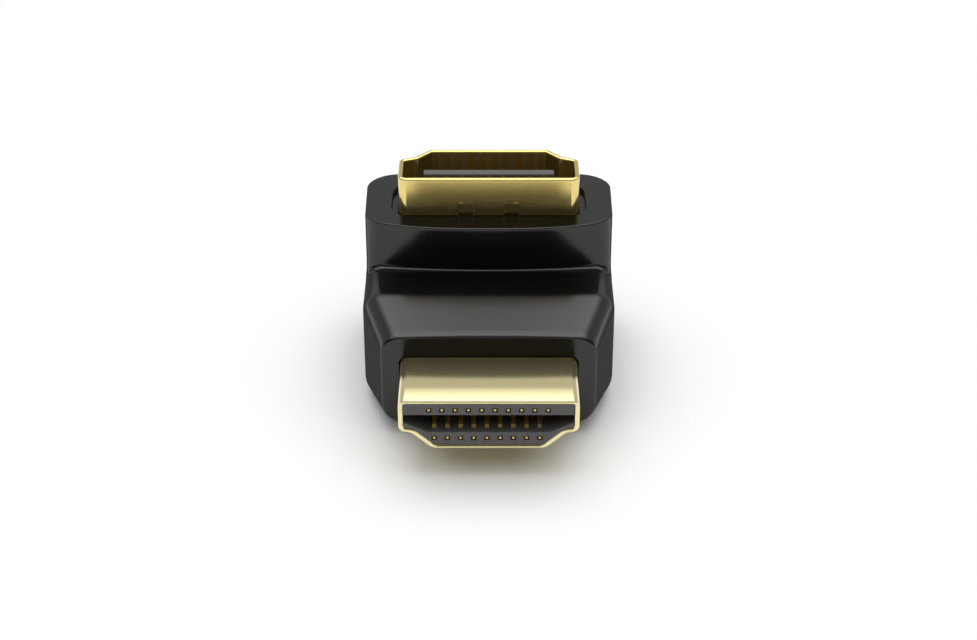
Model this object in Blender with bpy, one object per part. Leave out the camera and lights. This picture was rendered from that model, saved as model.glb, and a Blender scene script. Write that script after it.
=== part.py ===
"""Right-angle HDMI adapter, in metres with +Z up.

A plug looks forward (-Y) and a socket looks up (+Z). Both are soldered to one circuit board, and a
single L-shaped body is moulded round the board and the rear ends of both connectors. The origin lies
on the surface that the adapter stands on, under the middle of its length.
"""

import math

import bmesh
import bpy
from mathutils import Vector

MM = 0.001

# Body: a tapering arm that carries the plug, and a block that carries the socket
ARM_LENGTH = 9.585 * MM
ARM_TAPER_LENGTH = 5.5 * MM
KNEE_HEIGHT = 9.72 * MM
FOOT_HEIGHT = 9.54 * MM
BLOCK_DEPTH = 10.015 * MM
BODY_HEIGHT = 13.37 * MM
BODY_WIDTH = 20.3 * MM
BLOCK_TOP_WIDTH = 20.4 * MM
FACE_WIDTH = 17.0 * MM
FACE_TOP = 9.25 * MM
FACE_BOTTOM = 0.95 * MM
AXIS_HEIGHT = 5.0 * MM
WALL_DRAFT = 0.12 * MM
WALL_BOW = 0.6 * MM
TOP_BOW = 1.2 * MM
FACE_CROWN = 0.2 * MM
TAPER_BLEND = 0.45 * MM
ARM_EDGE_RADIUS = 1.6 * MM
ARM_BOTTOM_RADIUS = 1.9 * MM
INNER_EDGE_RADIUS = 1.1 * MM
TOP_FRONT_RADIUS = 1.65 * MM
BLOCK_EDGE_RADIUS = 2.4 * MM
ELBOW_RADIUS = 2.0 * MM
INNER_FILLET = 0.2 * MM
FACE_FILLET = 0.2 * MM
TOP_FILLET = 0.16 * MM
RECESS_DEPTH = 0.4 * MM
RECESS_SIDE_MARGIN = 0.6 * MM
RECESS_END_MARGIN = 0.2 * MM
RECESS_RADIUS = 1.7 * MM

# Plug shell: D-shaped, its wide side up
PLUG_WIDTH = 13.9 * MM
PLUG_HEIGHT = 4.45 * MM
PLUG_REACH = 6.0 * MM
PLUG_BURIED = 3.6 * MM
PLUG_SHEET = 0.35 * MM
PLUG_SIDE_DROP = 0.72 * MM
PLUG_LEDGE_HALF = 6.05 * MM
PLUG_FLOOR_HALF = 4.36 * MM
PLUG_CORNER_RADIUS = 0.55 * MM
PLUG_CURVE_RADIUS = 1.0 * MM
EAR_LENGTH = 2.4 * MM
EAR_LOW = -0.1 * MM
EAR_HIGH = 1.3 * MM

# Plug insulator: an upper bar and a lower bar round the cavity that takes a socket's tongue
PLUG_INSULATOR_SETBACK = 0.35 * MM
PLUG_CAVITY_DEPTH = 7.2 * MM
PLUG_CAVITY_TOP = 0.63 * MM
PLUG_CAVITY_SIDE_DROP = 0.02 * MM
PLUG_CAVITY_FLOOR = 0.95 * MM
PLUG_CAVITY_FLOOR_HALF = 4.68 * MM
PLUG_FRONT_WALL = 0.55 * MM

# Plug contacts: ten above the cavity and nine below it
PLUG_UPPER_COUNT = 10
PLUG_LOWER_COUNT = 9
PLUG_PITCH = 1.016 * MM
PLUG_CONTACT_WIDTH = 0.38 * MM
PLUG_CONTACT_SHEET = 0.2 * MM
PLUG_UPPER_TIP_Z = 1.06 * MM
PLUG_LOWER_TIP_Z = -1.5 * MM
PLUG_TIP_HOLE_HEIGHT = 0.44 * MM
PLUG_TIP_SETBACK = 0.12 * MM
PLUG_BLADE_PROUD = 0.1 * MM
PLUG_BLADE_BOW = 0.12 * MM
PLUG_BLADE_BOW_SHARE = 0.3
PLUG_BLADE_END_SHARE = 0.6
PLUG_TAIL_LENGTH = 1.7 * MM

# Socket shell: the same D on its back, its wide side forward
SOCKET_OPENING_WIDTH = 14.0 * MM
SOCKET_OPENING_DEPTH = 4.55 * MM
SOCKET_SHEET = 0.4 * MM
SOCKET_STAND = 3.33 * MM
SOCKET_SIDE_DROP = 0.62 * MM
SOCKET_LEDGE_HALF = 5.85 * MM
SOCKET_LEDGE_DROP = 1.05 * MM
SOCKET_FLOOR_HALF = 4.7 * MM
SOCKET_CORNER_RADIUS = 0.3 * MM
SOCKET_LEDGE_RADIUS = 0.5 * MM
SOCKET_FLOOR_RADIUS = 0.2 * MM
SOCKET_SHELL_CLEARANCE = 0.6 * MM
LEG_WIDTH = 0.6 * MM
LEG_SPACING = 1.2 * MM
LEG_BELOW_BOARD = 0.5 * MM
WINDOW_WIDTH = 1.25 * MM
WINDOW_SPACING = 3.72 * MM
WINDOW_BELOW_RIM = 2.08 * MM
WINDOW_LENGTH = 3.4 * MM
FINGER_WIDTH = 1.12 * MM
FINGER_SHEET = 0.3 * MM
FINGER_TIP_GAP = 0.18 * MM
FINGER_LEAN = 0.1 * MM
FINGER_ROOT = 0.4 * MM

# Socket insulator: a base in the foot of the shell and the tongue that stands on it
SOCKET_BASE_CLEARANCE = 0.4 * MM
SOCKET_BASE_HEIGHT = 2.4 * MM
TONGUE_WIDTH = 10.74 * MM
TONGUE_THICKNESS = 0.8 * MM
TONGUE_BELOW_RIM = 0.78 * MM
TONGUE_OFFSET = 0.16 * MM
TONGUE_CHAMFER = 0.1 * MM

# Socket contacts: nine on the tongue's front and ten on its back
SOCKET_FRONT_COUNT = 9
SOCKET_FRONT_PITCH = 1.149 * MM
SOCKET_FRONT_CONTACT_WIDTH = 0.48 * MM
SOCKET_BACK_COUNT = 10
SOCKET_BACK_PITCH = 1.0 * MM
SOCKET_BACK_CONTACT_WIDTH = 0.4 * MM
SOCKET_CONTACT_SHEET = 0.18 * MM
SOCKET_CONTACT_PROUD = 0.03 * MM
SOCKET_GROOVE_END = 0.14 * MM
SOCKET_FRONT_FOOT_REACH = 3.0 * MM
SOCKET_BACK_FOOT_REACH = 2.3 * MM

# Circuit board, in the plane of the plug's axis
BOARD_THICKNESS = 1.0 * MM
BOARD_WIDTH = 17.4 * MM
BOARD_REAR_MARGIN = 1.6 * MM
BOARD_CORNER_RADIUS = 1.2 * MM
BOARD_NOSE_RADIUS = 0.3 * MM

# Clearances between neighbours
MOULD_GAP = 0.1 * MM
INSULATOR_GAP = 0.05 * MM
CONTACT_GAP = 0.04 * MM
SOLDER_GAP = 0.05 * MM
BOARD_GAP = 0.1 * MM
TAIL_ROOM = 0.4 * MM

# How the body's sections are spread over a run, and how far the arm has changed where the elbow starts
RUN_SHARES = (0.0, 0.35, 0.7)
WALL_SHARES = (0.2, 0.5, 0.8)
EDGE_CHANGE_AT_ELBOW = 0.3
BOW_AT_ELBOW = 0.7

# Smoothness of the round parts
ARC_STEPS = 5
LEAST_RADIUS = 0.02 * MM
FILLET_STEPS = 3
EDGE_CELLS = 8
RIM_BEVEL = 0.1 * MM
RIM_SEGMENTS = 2
RIM_ANGLE = math.radians(60)
SMOOTH_ANGLE = math.radians(40)
CUTTER_OVERRUN = 1.0 * MM

# Places that follow from the sizes
OVERALL_DEPTH = PLUG_REACH + ARM_LENGTH + BLOCK_DEPTH
RIM_Y = -OVERALL_DEPTH / 2
FACE_Y = RIM_Y + PLUG_REACH
FOOT_Y = FACE_Y + ARM_LENGTH
REAR_Y = FOOT_Y + BLOCK_DEPTH
PLUG_END_Y = FACE_Y + PLUG_BURIED
SOCKET_Y = (FOOT_Y + WALL_DRAFT + REAR_Y) / 2
SOCKET_RIM_Z = BODY_HEIGHT + SOCKET_STAND
TONGUE_Y = SOCKET_Y + TONGUE_OFFSET
TONGUE_TOP_Z = SOCKET_RIM_Z - TONGUE_BELOW_RIM
BOARD_TOP_Z = AXIS_HEIGHT + BOARD_THICKNESS / 2
BOARD_BOTTOM_Z = AXIS_HEIGHT - BOARD_THICKNESS / 2
BOARD_FRONT_Y = PLUG_END_Y + BOARD_GAP
BOARD_REAR_Y = REAR_Y - BOARD_REAR_MARGIN
EAR_END_Y = PLUG_END_Y + EAR_LENGTH
SHELL_BOTTOM_Z = BOARD_TOP_Z + SOCKET_SHELL_CLEARANCE
LEG_BOTTOM_Z = BOARD_BOTTOM_Z - LEG_BELOW_BOARD
BASE_BOTTOM_Z = BOARD_TOP_Z + SOCKET_BASE_CLEARANCE
BASE_TOP_Z = BASE_BOTTOM_Z + SOCKET_BASE_HEIGHT
PLUG_INSULATOR_Y = RIM_Y + PLUG_INSULATOR_SETBACK


def clear_scene():
    """Removes every object that the scene starts with."""
    for obj in list(bpy.data.objects):
        bpy.data.objects.remove(obj, do_unlink=True)


def material(name, color, roughness, metallic=0.0):
    """A Principled material."""
    made = bpy.data.materials.new(name)
    made.use_nodes = True
    made.diffuse_color = (*color, 1.0)
    shader = made.node_tree.nodes["Principled BSDF"]
    shader.inputs["Base Color"].default_value = (*color, 1.0)
    shader.inputs["Roughness"].default_value = roughness
    shader.inputs["Metallic"].default_value = metallic
    return made


def add_object(name, bm, surface=None):
    """Turns a bmesh into an object, its faces pointing out."""
    bmesh.ops.recalc_face_normals(bm, faces=bm.faces)
    mesh = bpy.data.meshes.new(name)
    bm.to_mesh(mesh)
    bm.free()
    obj = bpy.data.objects.new(name, mesh)
    bpy.context.scene.collection.objects.link(obj)
    if surface:
        mesh.materials.append(surface)
        mesh.shade_smooth()
        mesh.set_sharp_from_angle(angle=SMOOTH_ANGLE)
    return obj


def as_cutter(obj):
    """Marks an object that only shapes another one."""
    obj.hide_render = True
    obj.display_type = "WIRE"
    return obj


def combine(obj, other, operation="DIFFERENCE"):
    """Cuts another object from this one, or joins it on."""
    boolean = obj.modifiers.new(f"{operation} {other.name}", "BOOLEAN")
    boolean.operation = operation
    boolean.object = as_cutter(other)


def round_rims(obj):
    """Rounds the square edges of a stamped and tumbled sheet."""
    bevel = obj.modifiers.new("Rounded rims", "BEVEL")
    bevel.width = RIM_BEVEL
    bevel.segments = RIM_SEGMENTS
    bevel.limit_method = "ANGLE"
    bevel.angle_limit = RIM_ANGLE


def mixed(first, second, share):
    """A value part of the way from one to another."""
    return first + (second - first) * share


def unit(dx, dy):
    """The direction of a step in a plane."""
    length = math.hypot(dx, dy)
    return dx / length, dy / length


def inset_corners(corners, inset):
    """Moves a polygon's sides inwards. Corners are (a, b, radius), counter-clockwise."""
    moved = []
    for i, (a, b, radius) in enumerate(corners):
        before, after = corners[i - 1], corners[(i + 1) % len(corners)]
        ax, ay = unit(a - before[0], b - before[1])
        bx, by = unit(after[0] - a, after[1] - b)
        share = inset / (1 + ax * bx + ay * by)
        convex = ax * by - ay * bx > 0
        moved.append((
            a - (ay + by) * share,
            b + (ax + bx) * share,
            max(radius - inset if convex else radius + inset, LEAST_RADIUS),
        ))
    return moved


def rounded(corners):
    """The outline of a polygon whose corners are arcs."""
    outline = []
    for i, (a, b, radius) in enumerate(corners):
        before, after = corners[i - 1], corners[(i + 1) % len(corners)]
        ax, ay = unit(a - before[0], b - before[1])
        bx, by = unit(after[0] - a, after[1] - b)
        turn = math.atan2(ax * by - ay * bx, ax * bx + ay * by)
        if radius <= 0:
            outline.append((a, b))
            continue
        reach = radius * math.tan(abs(turn) / 2)
        side = math.copysign(radius, turn)
        center = (a - ax * reach - ay * side, b - ay * reach + ax * side)
        for step in range(ARC_STEPS + 1):
            angle = turn * step / ARC_STEPS
            x, y = ay * side, -ax * side
            outline.append((
                center[0] + x * math.cos(angle) - y * math.sin(angle),
                center[1] + x * math.sin(angle) + y * math.cos(angle),
            ))
    return outline


def mirrored(right_side):
    """A whole polygon from its right side, listed from the top down."""
    left_side = [(-a, b, radius) for a, b, radius in reversed(right_side)]
    return (left_side + right_side)[::-1]


def plug_corners():
    """The plug shell's outside, seen from the front."""
    half, top = PLUG_WIDTH / 2, PLUG_HEIGHT / 2
    return mirrored([
        (half, top, PLUG_CORNER_RADIUS),
        (half, -PLUG_SIDE_DROP, PLUG_CORNER_RADIUS),
        (PLUG_LEDGE_HALF, -PLUG_SIDE_DROP, PLUG_CURVE_RADIUS),
        (PLUG_FLOOR_HALF, -top, PLUG_CURVE_RADIUS),
    ])


def socket_corners():
    """The socket's opening, seen from above with its wide side up."""
    half, top = SOCKET_OPENING_WIDTH / 2, SOCKET_OPENING_DEPTH / 2
    return mirrored([
        (half, top, SOCKET_CORNER_RADIUS),
        (half, -SOCKET_SIDE_DROP, SOCKET_FLOOR_RADIUS),
        (SOCKET_LEDGE_HALF, -SOCKET_LEDGE_DROP, SOCKET_LEDGE_RADIUS),
        (SOCKET_FLOOR_HALF, -top, SOCKET_FLOOR_RADIUS),
    ])


def along_plug(a, b, y):
    """A point of the plug: a to the right, b up from its axis, y along it."""
    return Vector((a, y, AXIS_HEIGHT + b))


def along_socket(a, b, z):
    """A point of the socket: a to the right, b forward from its axis, z along it."""
    return Vector((a, SOCKET_Y - b, z))


def flat(a, b, z):
    """A point of a level outline."""
    return Vector((a, b, z))


def across_part(y, z, x):
    """A point of a side outline."""
    return Vector((x, y, z))


def add_loop(bm, outline, level, place):
    """The vertices of one outline."""
    return [bm.verts.new(place(a, b, level)) for a, b in outline]


def bridge(bm, first, second):
    """Faces between two loops of as many vertices."""
    for i, vertex in enumerate(first):
        after = (i + 1) % len(first)
        bm.faces.new((vertex, first[after], second[after], second[i]))


def prism(name, outline, start, end, place, surface=None):
    """A solid of one outline between two levels."""
    bm = bmesh.new()
    first = add_loop(bm, outline, start, place)
    second = add_loop(bm, outline, end, place)
    bridge(bm, first, second)
    bm.faces.new(first)
    bm.faces.new(second)
    return add_object(name, bm, surface)


def tube(name, outside, inside, start, end, place, surface):
    """A sheet-metal tube between two levels."""
    bm = bmesh.new()
    loops = [
        add_loop(bm, outline, level, place)
        for outline, level in ((outside, start), (outside, end), (inside, end), (inside, start))
    ]
    for i, loop in enumerate(loops):
        bridge(bm, loops[i - 1], loop)
    return add_object(name, bm, surface)


def add_box(bm, low, high):
    """A box between two corners, in a bmesh that may hold more of them."""
    made = bmesh.ops.create_cube(bm, size=1)["verts"]
    low, high = Vector(low), Vector(high)
    size = high - low
    for vertex in made:
        vertex.co = low + Vector(((c + 0.5) * s for c, s in zip(vertex.co, size)))


def boxes(name, corners):
    """One cutter of several boxes that don't meet."""
    bm = bmesh.new()
    for low, high in corners:
        add_box(bm, low, high)
    return add_object(name, bm)


def row(count, pitch):
    """The places of a row of contacts, centred on the axis."""
    return [(i - (count - 1) / 2) * pitch for i in range(count)]


# Body


def soft_knee(y, knee, value, slope_before, slope_after=0.0):
    """A run that falls away from the knee on each side, with a short blend at the knee."""
    distance = knee - y
    if distance <= -TAPER_BLEND:
        return value + slope_after * distance
    if distance >= TAPER_BLEND:
        return value - slope_before * distance
    before = slope_before * (TAPER_BLEND + distance) ** 2
    after = slope_after * (TAPER_BLEND - distance) ** 2
    return value - (before + after) / (4 * TAPER_BLEND)


def section_outline(half_width, length, inner_radius, outer_radius):
    """A rounded rectangle as (across, out): out runs from the inner edge to the outer one."""
    outline = []

    def corner(a, b, radius, first_angle):
        for step in range(ARC_STEPS + 1):
            angle = first_angle + math.pi / 2 * step / ARC_STEPS
            outline.append((a + radius * math.cos(angle), b + radius * math.sin(angle)))

    def edge(start, end, level):
        for step in range(1, EDGE_CELLS):
            outline.append((start + (end - start) * step / EDGE_CELLS, level))

    inner, outer = half_width - inner_radius, half_width - outer_radius
    edge(-inner, inner, 0)
    corner(inner, inner_radius, inner_radius, -math.pi / 2)
    corner(outer, length - outer_radius, outer_radius, 0)
    edge(outer, -outer, length)
    corner(-outer, length - outer_radius, outer_radius, math.pi / 2)
    corner(-inner, inner_radius, inner_radius, math.pi)
    return outline


def body_station(bm, inner, outer, half_width, radii, bows=(0.0, 0.0), crown=0.0, inset=0.0):
    """One cross-section of the body, from its inner edge to its outer edge, both (y, z)."""
    run = Vector(outer) - Vector(inner)
    length = run.length
    run.normalize()
    outline = section_outline(
        half_width - inset, length - 2 * inset, radii[0] - inset, radii[1] - inset
    )
    loop = []
    for across, out in outline:
        out += inset
        off_axis = (across / half_width) ** 2
        lean = 1 - 2 * out / length
        y = inner[0] + run.x * out + bows[0 if lean > 0 else 1] * off_axis * lean
        z = inner[1] + run.y * out - crown * off_axis * max(0.0, lean)
        loop.append(bm.verts.new((across, y, z)))
    return loop


def fillet_stations(radius):
    """(inset, distance from the end) of the sections that round an end face."""
    angles = [math.pi / 2 * step / FILLET_STEPS for step in range(FILLET_STEPS + 1)]
    return [(radius * (1 - math.sin(a)), radius * (1 - math.cos(a))) for a in angles]


def arm_stations(bm):
    """Sections of the arm from its front face to the foot of the wall."""
    knee = FACE_Y + ARM_TAPER_LENGTH
    slope_before = (KNEE_HEIGHT - FACE_TOP) / ARM_TAPER_LENGTH
    slope_after = (KNEE_HEIGHT - FOOT_HEIGHT) / (FOOT_Y - knee)
    ys = [(FACE_Y + away, inset) for inset, away in fillet_stations(FACE_FILLET)]
    ys.append((FACE_Y + ARM_TAPER_LENGTH / 2, 0))
    ys += [(knee + TAPER_BLEND * share, 0) for share in (-1, -0.5, 0, 0.5, 1)]
    loops = []
    for y, inset in ys:
        top = soft_knee(y, knee, KNEE_HEIGHT, slope_before, slope_after)
        bottom = soft_knee(y, knee, 0, -FACE_BOTTOM / ARM_TAPER_LENGTH)
        half = soft_knee(y, knee, BODY_WIDTH / 2, (BODY_WIDTH - FACE_WIDTH) / 2 / ARM_TAPER_LENGTH)
        crown = FACE_CROWN * max(0.0, (knee - y) / ARM_TAPER_LENGTH)
        radii = (ARM_EDGE_RADIUS, ARM_BOTTOM_RADIUS)
        loops.append(body_station(bm, (y, top), (y, bottom), half, radii, crown=crown, inset=inset))
    return loops


def elbow_path():
    """The outer edge in the elbow: along the bottom, round the corner and up the rear."""
    start, corner = FOOT_Y - INNER_FILLET, REAR_Y - ELBOW_RADIUS
    path = [(mixed(start, corner, share), 0) for share in RUN_SHARES]
    for step in range(ARC_STEPS + 1):
        angle = math.pi / 2 * step / ARC_STEPS
        path.append((corner + ELBOW_RADIUS * math.sin(angle), ELBOW_RADIUS * (1 - math.cos(angle))))
    end = FOOT_HEIGHT + INNER_FILLET
    path += [(REAR_Y, mixed(ELBOW_RADIUS, end, share)) for share in (*RUN_SHARES[1:], 1.0)]
    return path


def elbow_stations(bm):
    """Sections that turn about the fillet in the inner corner."""
    path = elbow_path()
    center_y, center_z = FOOT_Y - INNER_FILLET, FOOT_HEIGHT + INNER_FILLET
    radius_at_elbow = mixed(ARM_EDGE_RADIUS, INNER_EDGE_RADIUS, EDGE_CHANGE_AT_ELBOW)
    loops = []
    for i, outer in enumerate(path):
        share = i / (len(path) - 1)
        angle = math.pi / 2 * share
        inner = (
            center_y + INNER_FILLET * math.sin(angle),
            center_z - INNER_FILLET * math.cos(angle),
        )
        inner_radius = mixed(radius_at_elbow, INNER_EDGE_RADIUS, share)
        outer_radius = mixed(ARM_BOTTOM_RADIUS, BLOCK_EDGE_RADIUS, share)
        bow = WALL_BOW * min(1.0, BOW_AT_ELBOW + share)
        loops.append(
            body_station(bm, inner, outer, BODY_WIDTH / 2, (inner_radius, outer_radius), bows=(bow, bow))
        )
    return loops


def block_stations(bm):
    """Sections of the block from the foot of the wall to its top face."""
    start = FOOT_HEIGHT + INNER_FILLET
    levels = [(mixed(start, BODY_HEIGHT, share), 0) for share in WALL_SHARES]
    levels += [(BODY_HEIGHT - away, inset) for inset, away in reversed(fillet_stations(TOP_FILLET))]
    loops = []
    for z, inset in levels:
        share = (z - start) / (BODY_HEIGHT - start)
        wall_y = FOOT_Y + WALL_DRAFT * share
        half = mixed(BODY_WIDTH, BLOCK_TOP_WIDTH, share) / 2
        inner_radius = mixed(INNER_EDGE_RADIUS, TOP_FRONT_RADIUS, share)
        bows = (mixed(WALL_BOW, TOP_BOW, share), WALL_BOW)
        loops.append(
            body_station(bm, (wall_y, z), (REAR_Y, z), half, (inner_radius, BLOCK_EDGE_RADIUS),
                         bows=bows, inset=inset)
        )
    return loops


def make_body(surface):
    """The moulded body, with room for the board and the rear ends of both connectors."""
    bm = bmesh.new()
    loops = arm_stations(bm) + elbow_stations(bm) + block_stations(bm)
    for first, second in zip(loops, loops[1:]):
        bridge(bm, first, second)
    bm.faces.new(loops[0])
    bm.faces.new(loops[-1])
    body = add_object("overmould_body", bm, surface)
    plug_bore = prism(
        "plug_bore", rounded(inset_corners(plug_corners(), -MOULD_GAP)),
        FACE_Y - CUTTER_OVERRUN, PLUG_END_Y + MOULD_GAP, along_plug,
    )
    room_top = max(SHELL_BOTTOM_Z, AXIS_HEIGHT + EAR_HIGH) + MOULD_GAP
    room_bottom = min(LEG_BOTTOM_Z, BOARD_BOTTOM_Z - TAIL_ROOM) - MOULD_GAP
    board_room = prism(
        "board_room", rounded(inset_corners(board_corners(PLUG_WIDTH / 2), -MOULD_GAP)),
        room_bottom, room_top, flat,
    )
    socket_well = prism(
        "socket_well", rounded(inset_corners(socket_corners(), -SOCKET_SHEET - MOULD_GAP)),
        room_top - MOULD_GAP, BODY_HEIGHT + CUTTER_OVERRUN, along_socket,
    )
    recess = prism(
        "socket_recess", rounded(recess_corners()),
        BODY_HEIGHT - RECESS_DEPTH, BODY_HEIGHT + CUTTER_OVERRUN, along_socket,
    )
    for cutter in (plug_bore, board_room, socket_well, recess):
        combine(body, cutter)
    return body


def recess_corners():
    """The shallow recess in the top face, round the socket shell."""
    half = SOCKET_OPENING_WIDTH / 2 + SOCKET_SHEET + RECESS_SIDE_MARGIN
    top = SOCKET_OPENING_DEPTH / 2 + SOCKET_SHEET + RECESS_END_MARGIN
    return mirrored([(half, top, RECESS_RADIUS), (half, -top, RECESS_RADIUS)])


# Circuit board


def board_corners(nose=PLUG_WIDTH / 2 - PLUG_SHEET - BOARD_GAP):
    """The board's outline from above: a nose between the plug's ears, and the full width behind."""
    half = BOARD_WIDTH / 2
    shoulder = EAR_END_Y + BOARD_GAP
    return mirrored([
        (half, BOARD_REAR_Y, BOARD_CORNER_RADIUS),
        (half, shoulder, BOARD_NOSE_RADIUS),
        (nose, shoulder, 0),
        (nose, BOARD_FRONT_Y, BOARD_NOSE_RADIUS),
    ])


def leg_places():
    """(x, y) of the middle of each leg of the socket shell."""
    x = SOCKET_OPENING_WIDTH / 2 + SOCKET_SHEET / 2
    middle = (SOCKET_OPENING_DEPTH / 2 - SOCKET_CORNER_RADIUS - SOCKET_SIDE_DROP) / 2
    return [
        (side * x, SOCKET_Y - middle + end * LEG_SPACING / 2) for side in (-1, 1) for end in (-1, 1)
    ]


def make_board(surface):
    """The circuit board, with a slot for each leg of the socket shell."""
    board = prism(
        "circuit_board", rounded(board_corners()), BOARD_BOTTOM_Z, BOARD_TOP_Z, flat, surface
    )
    half_x, half_y = SOCKET_SHEET / 2 + BOARD_GAP, LEG_WIDTH / 2 + BOARD_GAP
    combine(board, boxes("leg_slots", [
        ((x - half_x, y - half_y, BOARD_BOTTOM_Z - CUTTER_OVERRUN),
         (x + half_x, y + half_y, BOARD_TOP_Z + CUTTER_OVERRUN))
        for x, y in leg_places()
    ]))
    return board


# Plug


def make_plug_shell(surface):
    """The stamped shell, with an ear on each side that is soldered to the board."""
    corners = plug_corners()
    shell = tube(
        "plug_shell", rounded(corners), rounded(inset_corners(corners, PLUG_SHEET)),
        RIM_Y, EAR_END_Y, along_plug, surface,
    )
    round_rims(shell)
    beyond = PLUG_WIDTH / 2 + CUTTER_OVERRUN
    inside = PLUG_WIDTH / 2 - 2 * PLUG_SHEET
    end = EAR_END_Y + CUTTER_OVERRUN
    reach = PLUG_HEIGHT
    combine(shell, boxes("between_ears", [
        ((-inside, PLUG_END_Y, AXIS_HEIGHT - reach), (inside, end, AXIS_HEIGHT + reach)),
    ]))
    combine(shell, boxes("above_and_below_ears", [
        ((-beyond, PLUG_END_Y, AXIS_HEIGHT + EAR_HIGH), (beyond, end, AXIS_HEIGHT + reach)),
        ((-beyond, PLUG_END_Y, AXIS_HEIGHT - reach), (beyond, end, AXIS_HEIGHT + EAR_LOW)),
    ]))
    return shell


def plug_rows():
    """(count, tip height, cavity face height, direction into the cavity) of both rows."""
    return (
        ("upper", PLUG_UPPER_COUNT, PLUG_UPPER_TIP_Z, PLUG_CAVITY_TOP, -1),
        ("lower", PLUG_LOWER_COUNT, PLUG_LOWER_TIP_Z, -PLUG_CAVITY_FLOOR, 1),
    )


def make_plug_insulator(surface):
    """The insulator: two bars round the cavity, with a groove and a front hole for each contact."""
    outline = rounded(inset_corners(plug_corners(), PLUG_SHEET + INSULATOR_GAP))
    insulator = prism(
        "plug_insulator", outline, PLUG_INSULATOR_Y, PLUG_END_Y, along_plug, surface
    )
    wide = PLUG_WIDTH / 2
    cavity = [
        (wide, PLUG_CAVITY_TOP), (-wide, PLUG_CAVITY_TOP), (-wide, -PLUG_CAVITY_SIDE_DROP),
        (-PLUG_WIDTH / 2 + PLUG_SHEET, -PLUG_CAVITY_SIDE_DROP),
        (-PLUG_CAVITY_FLOOR_HALF, -PLUG_CAVITY_FLOOR), (PLUG_CAVITY_FLOOR_HALF, -PLUG_CAVITY_FLOOR),
        (PLUG_WIDTH / 2 - PLUG_SHEET, -PLUG_CAVITY_SIDE_DROP), (wide, -PLUG_CAVITY_SIDE_DROP),
    ]
    combine(insulator, prism(
        "plug_cavity", cavity, PLUG_INSULATOR_Y - CUTTER_OVERRUN,
        PLUG_INSULATOR_Y + PLUG_CAVITY_DEPTH, along_plug,
    ))
    half = PLUG_CONTACT_WIDTH / 2 + CONTACT_GAP
    grooves, holes = [], []
    for _, count, tip, face, inward in plug_rows():
        deep = tip - inward * PLUG_TIP_HOLE_HEIGHT / 2
        shallow = face + inward * (PLUG_BLADE_PROUD + CONTACT_GAP)
        low, high = sorted((AXIS_HEIGHT + deep, AXIS_HEIGHT + shallow))
        hole_low = AXIS_HEIGHT + tip - PLUG_TIP_HOLE_HEIGHT / 2
        hole_high = AXIS_HEIGHT + tip + PLUG_TIP_HOLE_HEIGHT / 2
        behind_wall = PLUG_INSULATOR_Y + PLUG_FRONT_WALL
        for x in row(count, PLUG_PITCH):
            grooves.append((
                (x - half, behind_wall, low),
                (x + half, PLUG_END_Y + CUTTER_OVERRUN, high),
            ))
            holes.append((
                (x - half, PLUG_INSULATOR_Y - CUTTER_OVERRUN, hole_low),
                (x + half, behind_wall + PLUG_FRONT_WALL, hole_high),
            ))
    combine(insulator, boxes("plug_grooves", grooves))
    combine(insulator, boxes("plug_tip_holes", holes))
    return insulator


def strip(name, path, thickness, x, width, surface):
    """A bent metal strip: its path is (y, z) along its middle, and it is level across."""
    left, right = [], []
    for i, (y, z) in enumerate(path):
        before, after = path[max(i - 1, 0)], path[min(i + 1, len(path) - 1)]
        ins = unit(y - before[0], z - before[1]) if i else unit(after[0] - y, after[1] - z)
        outs = unit(after[0] - y, after[1] - z) if i < len(path) - 1 else ins
        share = thickness / 2 / (1 + ins[0] * outs[0] + ins[1] * outs[1])
        dy, dz = -(ins[1] + outs[1]) * share, (ins[0] + outs[0]) * share
        left.append((y + dy, z + dz))
        right.append((y - dy, z - dz))
    outline = left + right[::-1]
    return prism(name, outline, x - width / 2, x + width / 2, across_part, surface)


def plug_contact_path(tip, face, inward):
    """A contact's run: tip in its hole, blade along the cavity, tail on the board."""
    front = PLUG_INSULATOR_Y + PLUG_TIP_SETBACK
    step = PLUG_INSULATOR_Y + PLUG_FRONT_WALL + CONTACT_GAP + PLUG_CONTACT_SHEET / 2
    blade = face + inward * (PLUG_BLADE_PROUD - PLUG_CONTACT_SHEET / 2)
    low = face - inward * PLUG_CONTACT_SHEET
    bow_y = mixed(step, PLUG_END_Y, PLUG_BLADE_BOW_SHARE)
    sunk_y = mixed(step, PLUG_END_Y, PLUG_BLADE_END_SHARE)
    tail = -inward * (BOARD_THICKNESS / 2 + SOLDER_GAP + PLUG_CONTACT_SHEET / 2)
    tail_start = BOARD_FRONT_Y + abs(low - tail) + PLUG_CONTACT_SHEET
    run = [
        (front, tip), (step, tip), (step + PLUG_CONTACT_SHEET, blade),
        (bow_y, blade + inward * PLUG_BLADE_BOW), (sunk_y, low), (PLUG_END_Y, low),
        (tail_start, tail), (tail_start + PLUG_TAIL_LENGTH, tail),
    ]
    return [(y, AXIS_HEIGHT + z) for y, z in run]


def make_plug_contacts(surface):
    """The nineteen contacts of the plug."""
    for side, count, tip, face, inward in plug_rows():
        path = plug_contact_path(tip, face, inward)
        for i, x in enumerate(row(count, PLUG_PITCH), 1):
            strip(
                f"plug_contact_{side}_{i:02d}", path, PLUG_CONTACT_SHEET, x, PLUG_CONTACT_WIDTH, surface
            )


# Socket


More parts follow.
